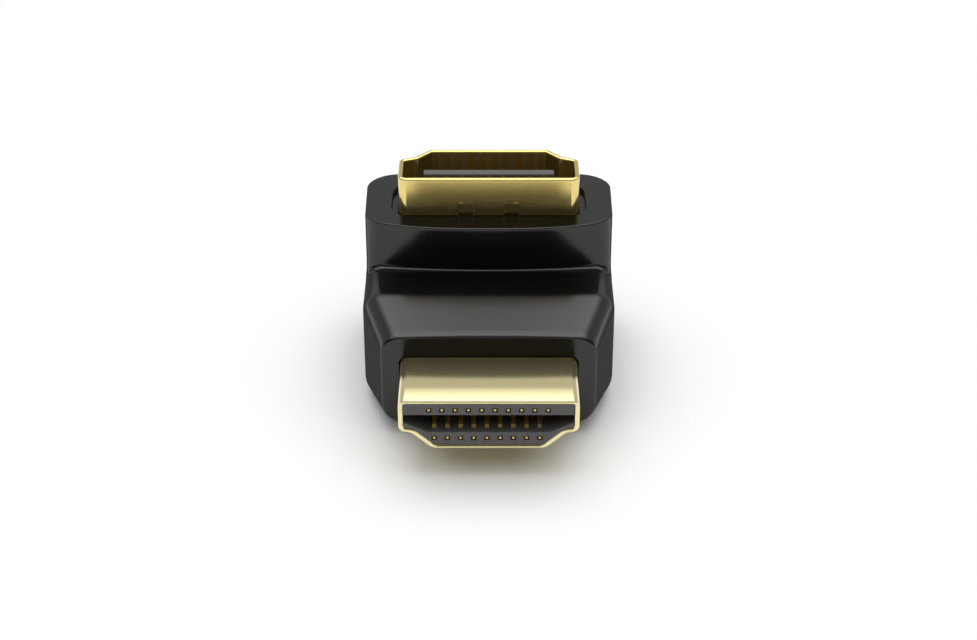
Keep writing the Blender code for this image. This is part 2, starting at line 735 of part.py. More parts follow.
def make_socket_shell(surface):
    """The stamped shell: four legs through the board, and two spring fingers in its front wall."""
    corners = socket_corners()
    shell = tube(
        "socket_shell", rounded(inset_corners(corners, -SOCKET_SHEET)), rounded(corners),
        LEG_BOTTOM_Z, SOCKET_RIM_Z, along_socket, surface,
    )
    round_rims(shell)
    combine(shell, boxes("between_leg_pairs", [
        ((-SOCKET_OPENING_WIDTH / 2 + SOCKET_SHEET, SOCKET_Y - SOCKET_OPENING_DEPTH,
          LEG_BOTTOM_Z - CUTTER_OVERRUN),
         (SOCKET_OPENING_WIDTH / 2 - SOCKET_SHEET, SOCKET_Y + SOCKET_OPENING_DEPTH, SHELL_BOTTOM_Z)),
    ]))
    combine(shell, boxes("beside_legs", beside_legs()))
    combine(shell, boxes("finger_windows", [
        ((x - WINDOW_WIDTH / 2, SOCKET_Y - SOCKET_OPENING_DEPTH,
          SOCKET_RIM_Z - WINDOW_BELOW_RIM - WINDOW_LENGTH),
         (x + WINDOW_WIDTH / 2, SOCKET_Y - SOCKET_OPENING_DEPTH / 4, SOCKET_RIM_Z - WINDOW_BELOW_RIM))
        for x in row(2, WINDOW_SPACING)
    ]))
    for i, x in enumerate(row(2, WINDOW_SPACING), 1):
        combine(shell, make_finger(f"spring_finger_{i}", x), "UNION")
    return shell


def beside_legs():
    """What is cut from the shell's end walls, before, between and behind the legs."""
    ys = sorted({y for _, y in leg_places()})
    edges = [SOCKET_Y - SOCKET_OPENING_DEPTH]
    for y in ys:
        edges += [y - LEG_WIDTH / 2, y + LEG_WIDTH / 2]
    edges.append(SOCKET_Y + SOCKET_OPENING_DEPTH)
    wide = SOCKET_OPENING_WIDTH / 2 + SOCKET_SHEET + CUTTER_OVERRUN
    return [
        ((-wide, start, LEG_BOTTOM_Z - CUTTER_OVERRUN), (wide, end, SHELL_BOTTOM_Z))
        for start, end in zip(edges[::2], edges[1::2])
    ]


def make_finger(name, x):
    """A spring finger: rooted in the wall under its window, leaning in towards its tip."""
    wall_y = SOCKET_Y - SOCKET_OPENING_DEPTH / 2 - SOCKET_SHEET / 2
    window_top = SOCKET_RIM_Z - WINDOW_BELOW_RIM
    window_bottom = window_top - WINDOW_LENGTH
    path = [
        (wall_y, window_bottom - FINGER_ROOT),
        (wall_y, window_bottom),
        (wall_y + FINGER_LEAN, window_top - FINGER_TIP_GAP),
    ]
    return strip(name, path, FINGER_SHEET, x, FINGER_WIDTH, None)


def socket_rows():
    """(name, places, width, foot reach, direction from the tongue) of both rows."""
    return (
        ("front", row(SOCKET_FRONT_COUNT, SOCKET_FRONT_PITCH), SOCKET_FRONT_CONTACT_WIDTH,
         SOCKET_FRONT_FOOT_REACH, -1),
        ("back", row(SOCKET_BACK_COUNT, SOCKET_BACK_PITCH), SOCKET_BACK_CONTACT_WIDTH,
         SOCKET_BACK_FOOT_REACH, 1),
    )


def make_socket_insulator(surface):
    """The insulator: base and tongue in one, with a groove for each contact."""
    outline = rounded(inset_corners(socket_corners(), INSULATOR_GAP))
    base = prism("socket_insulator", outline, BASE_BOTTOM_Z, BASE_TOP_Z, along_socket, surface)
    half, chamfer = TONGUE_THICKNESS / 2, TONGUE_CHAMFER
    tongue = [
        (TONGUE_Y - half, BASE_BOTTOM_Z + SOCKET_BASE_HEIGHT / 2),
        (TONGUE_Y + half, BASE_BOTTOM_Z + SOCKET_BASE_HEIGHT / 2),
        (TONGUE_Y + half, TONGUE_TOP_Z - chamfer),
        (TONGUE_Y + half - chamfer, TONGUE_TOP_Z),
        (TONGUE_Y - half + chamfer, TONGUE_TOP_Z),
        (TONGUE_Y - half, TONGUE_TOP_Z - chamfer),
    ]
    combine(base, prism(
        "tongue", tongue, -TONGUE_WIDTH / 2, TONGUE_WIDTH / 2, across_part,
    ), "UNION")
    grooves = []
    for _, places, width, _, side in socket_rows():
        surface_y = TONGUE_Y + side * TONGUE_THICKNESS / 2
        inner = surface_y - side * (SOCKET_CONTACT_SHEET - SOCKET_CONTACT_PROUD + CONTACT_GAP)
        outer = surface_y + side * (SOCKET_CONTACT_PROUD + CONTACT_GAP)
        near, far = sorted((inner, outer))
        for x in places:
            reach = width / 2 + CONTACT_GAP
            grooves.append((
                (x - reach, near, BASE_BOTTOM_Z - CUTTER_OVERRUN),
                (x + reach, far, TONGUE_TOP_Z - SOCKET_GROOVE_END),
            ))
    combine(base, boxes("socket_grooves", grooves))
    return base


def make_socket_contacts(surface):
    """The nineteen contacts of the socket: up a face of the tongue, with a foot on the board."""
    foot_z = BOARD_TOP_Z + SOLDER_GAP + SOCKET_CONTACT_SHEET / 2
    for row_name, places, width, foot_reach, side in socket_rows():
        y = TONGUE_Y + side * (TONGUE_THICKNESS / 2 + SOCKET_CONTACT_PROUD - SOCKET_CONTACT_SHEET / 2)
        top = TONGUE_TOP_Z - SOCKET_GROOVE_END - CONTACT_GAP
        path = [(y, top), (y, foot_z), (y + side * foot_reach, foot_z)]
        for i, x in enumerate(places, 1):
            strip(f"socket_contact_{row_name}_{i:02d}", path, SOCKET_CONTACT_SHEET, x, width, surface)


def main():
    """Models the whole adapter."""
    clear_scene()
    moulded = material("black moulded plastic", (0.02, 0.02, 0.021), 0.45)
    gold = material("gold-plated steel", (0.83, 0.68, 0.34), 0.22, 1.0)
    contact_gold = material("gold-plated contact", (0.8, 0.6, 0.25), 0.25, 1.0)
    plug_plastic = material("dark insulator plastic", (0.075, 0.075, 0.078), 0.5)
    socket_plastic = material("grey insulator plastic", (0.13, 0.13, 0.14), 0.5)
    laminate = material("board laminate", (0.03, 0.12, 0.05), 0.4)
    make_body(moulded)
    make_board(laminate)
    make_plug_shell(gold)
    make_plug_insulator(plug_plastic)
    make_plug_contacts(contact_gold)
    make_socket_shell(gold)
    make_socket_insulator(socket_plastic)
    make_socket_contacts(contact_gold)


if __name__ == "__main__":
    main()
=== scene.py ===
"""Right-angle video adapter, dressed for a studio picture.

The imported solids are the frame, and say where each piece goes. Over them this script lofts the moulded
body, draws both gold shells with their rims, cuts the two insulators, and lays the rows of contacts
with Geometry Nodes. A pale floor, one large softbox and a graded sky light it.

Lengths are in metres. The plug looks along -Y, the socket along +Z.
"""

import logging
import math
from collections.abc import Callable, Iterable, Sequence
from dataclasses import dataclass
from enum import Enum
from typing import NamedTuple

import bmesh
import bpy
from bmesh.types import BMVert
from bpy.types import ID, Material, Node, NodeSocket, NodeTree, Object
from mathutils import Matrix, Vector


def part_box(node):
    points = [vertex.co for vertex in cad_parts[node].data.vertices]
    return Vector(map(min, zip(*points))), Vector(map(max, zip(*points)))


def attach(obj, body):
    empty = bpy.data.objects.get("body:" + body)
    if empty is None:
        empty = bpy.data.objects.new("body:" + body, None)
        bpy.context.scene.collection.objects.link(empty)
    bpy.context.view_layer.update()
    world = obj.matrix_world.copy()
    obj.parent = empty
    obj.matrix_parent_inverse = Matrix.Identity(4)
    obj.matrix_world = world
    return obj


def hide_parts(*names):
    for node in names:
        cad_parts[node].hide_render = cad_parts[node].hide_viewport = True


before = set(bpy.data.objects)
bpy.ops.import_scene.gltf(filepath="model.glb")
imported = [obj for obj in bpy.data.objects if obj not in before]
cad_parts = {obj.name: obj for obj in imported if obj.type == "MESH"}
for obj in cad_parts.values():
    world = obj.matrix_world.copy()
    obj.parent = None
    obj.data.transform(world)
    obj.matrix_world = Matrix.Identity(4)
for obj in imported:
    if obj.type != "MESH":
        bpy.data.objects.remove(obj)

MM = 0.001
LOG = logging.getLogger("adapter")

# How far a cut runs on outside what it cuts
OVERRUN = 1.0 * MM

# The least turn of an edge, in degrees, that stays sharp in the shading
SHARP_TURN = 35.0

# The least turn of an edge, in degrees, that is rounded, and the faces that round it
ROUNDED_TURN = 50.0
ROUNDING_FACES = 2

# The middle part of a noise's range, which is stretched to the whole
GRAIN_SPAN = (0.3, 0.7)
CLOUD_SPAN = (0.35, 0.65)

Point = tuple[float, float]
Color = tuple[float, float, float]
Place = Callable[[float, float, float], Vector]
Socketed = NodeSocket | float | int | tuple
Ring = list[BMVert]


class Slot(Enum):
    """The record's material slots."""

    MOULDED = "moulded_black"
    SHELL = "shell_gold"
    CONTACT = "contact_gold"
    PLUG_PLASTIC = "plug_plastic"
    SOCKET_PLASTIC = "socket_plastic"
    BOARD = "board_laminate"


class Joining(Enum):
    """What a second solid does to the first."""

    CUT = "DIFFERENCE"
    WELD = "UNION"


# Outlines


class Corner(NamedTuple):
    """A corner of a closed outline, and the radius of the arc that rounds it."""

    a: float
    b: float
    radius: float


def unit(dx: float, dy: float) -> Point:
    """The direction of a step in a plane."""
    length = math.hypot(dx, dy)
    return dx / length, dy / length


def mixed(first: float, second: float, share: float) -> float:
    """A value part of the way from one to another."""
    return first + (second - first) * share


def spread(first: float, second: float, count: int) -> list[float]:
    """Evenly spaced values from the first up to and with the second."""
    return [mixed(first, second, i / count) for i in range(count + 1)]


def quarter(radius: float, steps: int) -> list[Point]:
    """A quarter circle that rounds an edge, as (inset, distance from the face), from the face inwards."""
    angles = spread(0, math.pi / 2, steps)
    return [(radius * (1 - math.sin(angle)), radius * (1 - math.cos(angle))) for angle in angles]


def mouth(face: float, end: float, flare: float) -> list[Point]:
    """A cut from outside a face, flared where it passes the face.

    Args:
        face: where along it the face is.
        end: where it ends, inside.
        flare: how much wider and how deep the flare is.

    Returns:
        The (inset, distance along) of its sections.
    """
    inward = math.copysign(1, end - face)
    return [(-flare, face - inward * OVERRUN), (-flare, face), (0.0, face + inward * flare), (0.0, end)]


def rectangle(half_width: float, half_height: float, middle: float) -> list[Point]:
    """The corners of a rectangle whose middle lies at a height over the axis."""
    low, high = middle - half_height, middle + half_height
    return [(-half_width, low), (half_width, low), (half_width, high), (-half_width, high)]


@dataclass(frozen=True)
class Profile:
    """A closed outline of straight sides and round corners, counter-clockwise."""

    corners: tuple[Corner, ...]
    least_radius: float = 0.02 * MM

    @classmethod
    def mirrored(cls, right_side: Sequence[Corner]) -> "Profile":
        """Makes a whole outline from its right side.

        Args:
            right_side: the corners right of the middle, from the top down.

        Returns:
            The outline with its left side added.
        """
        left_side = [Corner(-c.a, c.b, c.radius) for c in reversed(right_side)]
        return cls(tuple((left_side + list(right_side))[::-1]))

    def directions(self, i: int) -> tuple[Point, Point]:
        """The directions of the sides before and after a corner."""
        here, before = self.corners[i], self.corners[i - 1]
        after = self.corners[(i + 1) % len(self.corners)]
        return unit(here.a - before.a, here.b - before.b), unit(after.a - here.a, after.b - here.b)

    def inset(self, distance: float) -> "Profile":
        """Moves every side inwards, or outwards for a negative distance.

        Args:
            distance: how far.

        Returns:
            The moved outline, its corners' radii changed to match.
        """
        moved = []
        for i, corner in enumerate(self.corners):
            (ax, ay), (bx, by) = self.directions(i)
            share = distance / (1 + ax * bx + ay * by)
            convex = ax * by - ay * bx > 0
            radius = corner.radius - distance if convex else corner.radius + distance
            moved.append(Corner(
                corner.a - (ay + by) * share,
                corner.b + (ax + bx) * share,
                max(radius, self.least_radius),
            ))
        return Profile(tuple(moved))

    def outline(self, steps: int) -> list[Point]:
        """Walks the outline.

        Args:
            steps: how many straight pieces make each corner's arc.

        Returns:
            Its points, as many for every inset of the same profile.
        """
        points = []
        for i, corner in enumerate(self.corners):
            (ax, ay), (bx, by) = self.directions(i)
            turn = math.atan2(ax * by - ay * bx, ax * bx + ay * by)
            reach = corner.radius * math.tan(abs(turn) / 2)
            side = math.copysign(corner.radius, turn)
            middle = (corner.a - ax * reach - ay * side, corner.b - ay * reach + ax * side)
            for angle in spread(0, turn, steps):
                x, y = ay * side, -ax * side
                points.append((
                    middle[0] + x * math.cos(angle) - y * math.sin(angle),
                    middle[1] + x * math.sin(angle) + y * math.cos(angle),
                ))
        return points

    def sections(self, stations: Iterable[Point], steps: int) -> list[tuple[list[Point], float]]:
        """The outline, moved inwards, at each (inset, distance along)."""
        return [(self.inset(inset).outline(steps), along) for inset, along in stations]


def level(a: float, b: float, z: float) -> Vector:
    """A point of an outline seen from above."""
    return Vector((a, b, z))


def across(y: float, z: float, x: float) -> Vector:
    """A point of an outline seen from the side."""
    return Vector((x, y, z))


# Solids


def linked(name: str, data: ID) -> Object:
    """Makes an object of its data and links it to the scene.

    Args:
        name: the object's name.
        data: its mesh, light or camera.

    Returns:
        The object.
    """
    obj = bpy.data.objects.new(name, data)
    bpy.context.scene.collection.objects.link(obj)
    return obj


class Solid:
    """A closed mesh that grows ring by ring."""

    def __init__(self) -> None:
        """Starts with nothing."""
        self.bm = bmesh.new()

    def ring(self, points: Iterable[Vector]) -> Ring:
        """Adds the vertices of one ring."""
        return [self.bm.verts.new(point) for point in points]

    def skin(self, rings: Sequence[Ring], hollow: bool = False) -> "Solid":
        """Puts faces between neighbouring rings of as many vertices.

        Args:
            rings: the rings, in order.
            hollow: whether the last ring joins the first, instead of a face that closes each end.

        Returns:
            The same solid.
        """
        pairs = list(zip(rings, rings[1:]))
        if hollow:
            pairs.append((rings[-1], rings[0]))
        for first, second in pairs:
            for i, vertex in enumerate(first):
                after = (i + 1) % len(first)
                self.bm.faces.new((vertex, first[after], second[after], second[i]))
        if not hollow:
            self.bm.faces.new(rings[0])
            self.bm.faces.new(rings[-1])
        return self

    def box(self, low: Sequence[float], high: Sequence[float]) -> None:
        """Adds a box between two corners."""
        size = Vector(high) - Vector(low)
        for vertex in bmesh.ops.create_cube(self.bm, size=1)["verts"]:
            vertex.co = Vector(low) + Vector((c + 0.5) * s for c, s in zip(vertex.co, size))

    def to_object(self, name: str) -> Object:
        """Ends the mesh and links it as an object, its faces pointing out."""
        bmesh.ops.recalc_face_normals(self.bm, faces=self.bm.faces)
        mesh = bpy.data.meshes.new(name)
        self.bm.to_mesh(mesh)
        self.bm.free()
        return linked(name, mesh)


def lofted(
    name: str, sections: Iterable[tuple[Sequence[Point], float]], place: Place, hollow: bool = False
) -> Object:
    """Lofts outlines of as many points.

    Args:
        name: the object's name.
        sections: each outline, and where along the third direction it lies.
        place: turns outline and distance into a point.
        hollow: whether the last outline joins the first, as in a tube with a wall.

    Returns:
        The solid.
    """
    solid = Solid()
    rings = [solid.ring(place(a, b, along) for a, b in outline) for outline, along in sections]
    return solid.skin(rings, hollow).to_object(name)


def pushed(name: str, outline: Sequence[Point], start: float, end: float, place: Place) -> Object:
    """Lofts one outline from a start to an end."""
    return lofted(name, [(outline, start), (outline, end)], place)


def boxes(name: str, corners: Iterable[tuple[Sequence[float], Sequence[float]]]) -> Object:
    """Makes one object of several boxes that don't meet.

    Args:
        name: the object's name.
        corners: the lowest and the highest corner of each box.

    Returns:
        The solid.
    """
    solid = Solid()
    for low, high in corners:
        solid.box(low, high)
    return solid.to_object(name)


def strip(name: str, path: Sequence[Point], thickness: float, width: float) -> Object:
    """Bends a metal strip.

    Args:
        name: the object's name.
        path: (y, z) of the strip's middle.
        thickness: the sheet's thickness.
        width: the strip's width across, centred on x = 0.

    Returns:
        The solid.
    """
    left, right = [], []
    for i, (y, z) in enumerate(path):
        before, after = path[max(i - 1, 0)], path[min(i + 1, len(path) - 1)]
        ins = unit(y - before[0], z - before[1]) if i else unit(after[0] - y, after[1] - z)
        outs = unit(after[0] - y, after[1] - z) if i < len(path) - 1 else ins
        share = thickness / 2 / (1 + ins[0] * outs[0] + ins[1] * outs[1])
        dy, dz = -(ins[1] + outs[1]) * share, (ins[0] + outs[0]) * share
        left.append((y + dy, z + dz))
        right.append((y - dy, z - dz))
    return pushed(name, left + right[::-1], -width / 2, width / 2, across)


def settle(obj: Object) -> None:
    """Turns an object's modifiers into plain mesh.

    Args:
        obj: the object.
    """
    graph = bpy.context.evaluated_depsgraph_get()
    mesh = bpy.data.meshes.new_from_object(obj.evaluated_get(graph))
    obj.modifiers.clear()
    obj.data = mesh


def combine(obj: Object, others: Iterable[Object], joining: Joining = Joining.CUT) -> Object:
    """Cuts or welds other solids, and deletes them.

    Args:
        obj: the solid that stays.
        others: the solids that are used up.
        joining: what they do to it.

    Returns:
        The solid that stays.
    """
    used = list(others)
    for other in used:
        boolean = obj.modifiers.new(other.name, "BOOLEAN")
        boolean.operation = joining.value
        boolean.object = other
    settle(obj)
    for other in used:
        bpy.data.objects.remove(other, do_unlink=True)
    return obj


def soften(obj: Object, width: float, turn: float = ROUNDED_TURN) -> None:
    """Rounds the square edges.

    Args:
        obj: the solid.
        width: how far the rounding reaches from the edge.
        turn: the least turn, in degrees, of an edge that is rounded.
    """
    bevel = obj.modifiers.new("Soft edges", "BEVEL")
    bevel.width = width
    bevel.segments = ROUNDING_FACES
    bevel.limit_method = "ANGLE"
    bevel.angle_limit = math.radians(turn)
    settle(obj)


def smooth(obj: Object) -> None:
    """Shades smooth, with flat faces kept flat.

    Args:
        obj: the object.
    """
    obj.data.shade_smooth()
    obj.data.set_sharp_from_angle(angle=math.radians(SHARP_TURN))
    obj.modifiers.new("Flat faces first", "WEIGHTED_NORMAL").keep_sharp = True
    settle(obj)


# Node trees and rows


class Graph:
    """Adds and joins nodes in one tree."""

    def __init__(self, tree: NodeTree) -> None:
        """Takes the tree over."""
        self.tree = tree

    def feed(self, node: Node, inputs: dict[str | int, Socketed]) -> Node:
        """Gives inputs of a node what they take: another node's output, or a value.

        Args:
            node: the node.
            inputs: what each input takes, by name or number.

        Returns:
            The node.
        """
        for name, value in inputs.items():
            if isinstance(value, NodeSocket):
                self.tree.links.new(value, node.inputs[name])
            else:
                node.inputs[name].default_value = value
        return node

    def add(self, kind: str, inputs: dict[str | int, Socketed] | None = None, **settings: object) -> Node:
        """Adds a node.

        Args:
            kind: its type name.
            inputs: what each input takes.
            settings: the node's own properties.

        Returns:
            The node.
        """
        node = self.tree.nodes.new(kind)
        for name, value in settings.items():
            setattr(node, name, value)
        return self.feed(node, inputs or {})

    def maths(self, operation: str, *values: Socketed) -> NodeSocket:
        """A Math node's result."""
        return self.add("ShaderNodeMath", dict(enumerate(values)), operation=operation).outputs[0]

    def ranged(self, value: Socketed, source: Point, target: Point = (0.0, 1.0)) -> NodeSocket:
        """A value moved from one range to another, and kept inside it."""
        return self.add("ShaderNodeMapRange", {
            "Value": value, "From Min": source[0], "From Max": source[1],
            "To Min": target[0], "To Max": target[1],
        }).outputs["Result"]

    def blended(self, share: Socketed, first: Color, second: Color) -> NodeSocket:
        """A colour between two."""
        return self.add(
            "ShaderNodeMix", {"Factor": share, "A": (*first, 1.0), "B": (*second, 1.0)}, data_type="RGBA"
        ).outputs["Result"]

    def noise(self, vector: Socketed, size: float) -> NodeSocket:
        """Noise with features of about a size, in metres."""
        return self.add("ShaderNodeTexNoise", {"Vector": vector, "Scale": 1 / size}).outputs["Fac"]


@dataclass(frozen=True)
class Row:
    """Pieces from left to right: how many, how far apart, and how far right their middle is."""

    count: int
    pitch: float
    offset: float


@dataclass(frozen=True)
class ContactRow(Row):
    """A row of contacts on one side of a connector."""

    side: str

    def nodes(self, stem: str) -> list[str]:
        """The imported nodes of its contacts, from left to right."""
        return [f"{stem}_{self.side}_{i:02d}" for i in range(1, self.count + 1)]


class AcrossRow:
    """Repeats a piece from left to right with Geometry Nodes."""

    def __init__(self) -> None:
        """Builds the tree: a line of points, the piece on each, made real and dressed."""
        self.tree = bpy.data.node_groups.new("Row across", "GeometryNodeTree")
        face = self.tree.interface
        face.new_socket("Geometry", in_out="INPUT", socket_type="NodeSocketGeometry")
        kinds = {"Count": "Int", "Pitch": "Float", "Offset": "Float", "Material": "Material"}
        self.keys = {
            name: face.new_socket(name, in_out="INPUT", socket_type=f"NodeSocket{kind}").identifier
            for name, kind in kinds.items()
        }
        face.new_socket("Geometry", in_out="OUTPUT", socket_type="NodeSocketGeometry")
        graph = Graph(self.tree)
        given = graph.add("NodeGroupInput").outputs
        gaps = graph.maths("SUBTRACT", given["Count"], 1.0)
        half = graph.maths("MULTIPLY", graph.maths("MULTIPLY", gaps, given["Pitch"]), 0.5)
        start = graph.maths("SUBTRACT", given["Offset"], half)
        line = graph.add("GeometryNodeMeshLine", {
            "Count": given["Count"],
            "Start Location": graph.add("ShaderNodeCombineXYZ", {"X": start}).outputs[0],
            "Offset": graph.add("ShaderNodeCombineXYZ", {"X": given["Pitch"]}).outputs[0],
        })
        placed = graph.add("GeometryNodeInstanceOnPoints", {
            "Points": line.outputs["Mesh"], "Instance": given["Geometry"],
        })
        real = graph.add("GeometryNodeRealizeInstances", {"Geometry": placed.outputs[0]})
        dressed = graph.add("GeometryNodeSetMaterial", {
            "Geometry": real.outputs[0], "Material": given["Material"],
        })
        graph.add("NodeGroupOutput", {0: dressed.outputs[0]})

    def repeat(self, obj: Object, row: Row, material: Material | None = None) -> Object:
        """Turns one piece into a row of them, as plain mesh.

        Args:
            obj: the piece, at x = 0.
            row: how they are laid.
            material: what they are dressed in.

        Returns:
            The same object, holding the row.
        """
        modifier = obj.modifiers.new("Row", "NODES")
        modifier.node_group = self.tree
        given = {"Count": row.count, "Pitch": row.pitch, "Offset": row.offset, "Material": material}
        for name, value in given.items():
            if value is not None:
                modifier[self.keys[name]] = value
        settle(obj)
        return obj


# Finishes


@dataclass(frozen=True)
class Finish:
    """A surface with a fine grain, in the record's slot that it stands for."""

    name: str
    slot: Slot
    color: Color
    shade: Color
    roughness: Point
    grain: float
    grain_depth: float
    cloud: float = 3.0 * MM
    metallic: float = 0.0
    specular: float = 0.5
    coat: float = 0.0
    glancing: float = 0.0
    glancing_range: Point = (0.53, 0.67)

    def material(self) -> Material:
        """Builds the Principled material, or finds it if it is there already.

        Returns:
            The material, its colour clouded and its roughness and bump grained on Object coordinates.
        """
        made = bpy.data.materials.get(self.name)
        if made:
            return made
        made = bpy.data.materials.new(self.name)
        made.use_nodes = True
        made.diffuse_color = (*self.color, 1.0)
        graph = Graph(made.node_tree)
        where = graph.add("ShaderNodeTexCoord").outputs["Object"]
        clouds, grain = graph.noise(where, self.cloud), graph.noise(where, self.grain)
        rough = graph.ranged(grain, GRAIN_SPAN, self.roughness)
        if self.glancing:
            facing = graph.add("ShaderNodeLayerWeight").outputs["Facing"]
            dulled = graph.ranged(facing, self.glancing_range, (0.0, self.glancing))
            rough = graph.maths("ADD", rough, dulled)
        bump = graph.add("ShaderNodeBump", {"Height": grain, "Distance": self.grain_depth})
        graph.feed(made.node_tree.nodes["Principled BSDF"], {
            "Base Color": self.tint(graph, where, clouds), "Roughness": rough,
            "Normal": bump.outputs["Normal"], "Metallic": self.metallic,
            "Specular IOR Level": self.specular, "Coat Weight": self.coat,
            "Coat Roughness": self.roughness[0],
        })
        return made

    def tint(self, graph: Graph, where: NodeSocket, clouds: NodeSocket) -> NodeSocket:
        """The colour at each point: here, slow clouds between the colour and its shade."""
        return graph.blended(graph.ranged(clouds, CLOUD_SPAN), self.color, self.shade)

    def dress(self, obj: Object) -> None:
        """Makes this finish the only one of an object."""
        obj.data.materials.clear()
        obj.data.materials.append(self.material())


@dataclass(frozen=True)
class Laminate(Finish):
    """Lacquered board laminate, in which the glass cloth shows as a faint weave."""

    thread: float = 0.3 * MM
    waver: float = 0.4
    weave_span: Point = (0.3, 1.5)

    def tint(self, graph: Graph, where: NodeSocket, clouds: NodeSocket) -> NodeSocket:
        """The colour at each point: threads both ways under the lacquer.

        Args:
            graph: the material's nodes.
            where: the place.
            clouds: slow noise there.

        Returns:
            The colour.
        """
        wave = {"Vector": where, "Scale": 1 / self.thread, "Distortion": self.waver}
        along, over = (
            graph.add("ShaderNodeTexWave", wave, bands_direction=way).outputs["Fac"] for way in ("X", "Y")
        )
        weave = graph.maths("ADD", graph.maths("MULTIPLY", along, over), clouds)
        return graph.blended(graph.ranged(weave, self.weave_span), self.color, self.shade)


BODY_FINISH = Finish(
    "black moulded plastic", Slot.MOULDED, (0.0022, 0.0022, 0.0022), (0.003, 0.003, 0.0029),
    roughness=(0.15, 0.19), grain=0.09 * MM, grain_depth=0.002 * MM, specular=0.59, glancing=1.0,
)
SHELL_FINISH = Finish(
    "gold-plated shell", Slot.SHELL, (0.90, 0.78, 0.41), (0.88, 0.785, 0.42),
    roughness=(0.12, 0.16), grain=0.08 * MM, grain_depth=0.001 * MM, metallic=0.92, coat=1.0,
)
SOCKET_SHELL_FINISH = Finish(
    "gold-plated socket shell", Slot.SHELL, (0.84, 0.65, 0.21), (0.82, 0.66, 0.22),
    roughness=(0.13, 0.17), grain=0.08 * MM, grain_depth=0.001 * MM, metallic=0.95, coat=1.0,
)
CONTACT_FINISH = Finish(
    "gold-plated contact", Slot.CONTACT, (0.84, 0.62, 0.22), (0.80, 0.64, 0.26),
    roughness=(0.2, 0.26), grain=0.05 * MM, grain_depth=0.0003 * MM, metallic=0.95,
)
PLUG_CONTACT_FINISH = Finish(
    "gold-plated plug contact", Slot.CONTACT, (0.80, 0.56, 0.17), (0.76, 0.58, 0.19),
    roughness=(0.16, 0.22), grain=0.05 * MM, grain_depth=0.0003 * MM, metallic=0.6,
)
PLUG_PLASTIC_FINISH = Finish(
    "dark insulator plastic", Slot.PLUG_PLASTIC, (0.085, 0.084, 0.083), (0.095, 0.094, 0.092),
    roughness=(0.4, 0.5), grain=0.06 * MM, grain_depth=0.0008 * MM,
)
SOCKET_PLASTIC_FINISH = Finish(
    "grey insulator plastic", Slot.SOCKET_PLASTIC, (0.085, 0.085, 0.087), (0.095, 0.095, 0.097),
    roughness=(0.4, 0.5), grain=0.06 * MM, grain_depth=0.0008 * MM,
)
BOARD_FINISH = Laminate(
    "board laminate", Slot.BOARD, (0.02, 0.10, 0.04), (0.035, 0.15, 0.06),
    roughness=(0.3, 0.4), grain=0.1 * MM, grain_depth=0.0005 * MM,
)


def hand_over(obj: Object, finish: Finish, *nodes: str) -> None:
    """Dresses a finished piece and gives it to the frame.

    Args:
        obj: the piece.
        finish: what it is dressed in.
        nodes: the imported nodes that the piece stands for.
    """
    finish.dress(obj)
    smooth(obj)
    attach(obj, "root")
    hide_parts(*nodes)
    LOG.info("%s: %d faces for %d nodes", obj.name, len(obj.data.polygons), len(nodes))


# Body


@dataclass(frozen=True)
class Section:
    """One rounded rectangle of the body's loft, from an inner edge to an outer edge, both (y, z)."""

    inner: Point
    outer: Point
    half_width: float
    inner_radius: float
    outer_radius: float
    inner_bow: float = 0.0
    outer_bow: float = 0.0
    bow_power: float = 2.0
    side_bow: float = 0.0
    crown: float = 0.0
    inset: float = 0.0
    steps: int = 14
    cells: int = 26

    def outline(self, length: float) -> list[Point]:
        """Walks the rectangle, each arc in steps and each edge in cells.

        Args:
            length: from the inner edge to the outer one.

        Returns:
            Its points as (across, out), out running from the inner edge to the outer one.
        """
        arcs = Profile.mirrored([
            Corner(self.half_width, length, self.outer_radius),
            Corner(self.half_width, 0.0, self.inner_radius),
        ]).inset(self.inset).outline(self.steps)
        right, left = arcs[:len(arcs) // 2], arcs[len(arcs) // 2:]
        inner, outer = (
            [(a, start[1]) for a in spread(start[0], end[0], self.cells)[1:-1]]
            for start, end in ((left[-1], right[0]), (right[-1], left[0]))
        )
        return inner + right + outer + left

    def points(self) -> list[Vector]:
        """Places the rectangle's points in space, bowed and crowned."""
        run = Vector(self.outer) - Vector(self.inner)
        length = run.length
        run.normalize()
        placed = []
        for a, out in self.outline(length):
            off_axis = abs(a) / self.half_width
            lean = 1 - 2 * out / length
            front = max(0.0, lean)
            bow = self.inner_bow * off_axis ** self.bow_power * front
            bow -= self.outer_bow * off_axis ** 2 * max(0.0, -lean)
            placed.append(Vector((
                a * (1 - self.side_bow / self.half_width * front ** 2),
                self.inner[0] + run.x * out + bow,
                self.inner[1] + run.y * out - self.crown * off_axis ** 2 * front,
            )))
        return placed


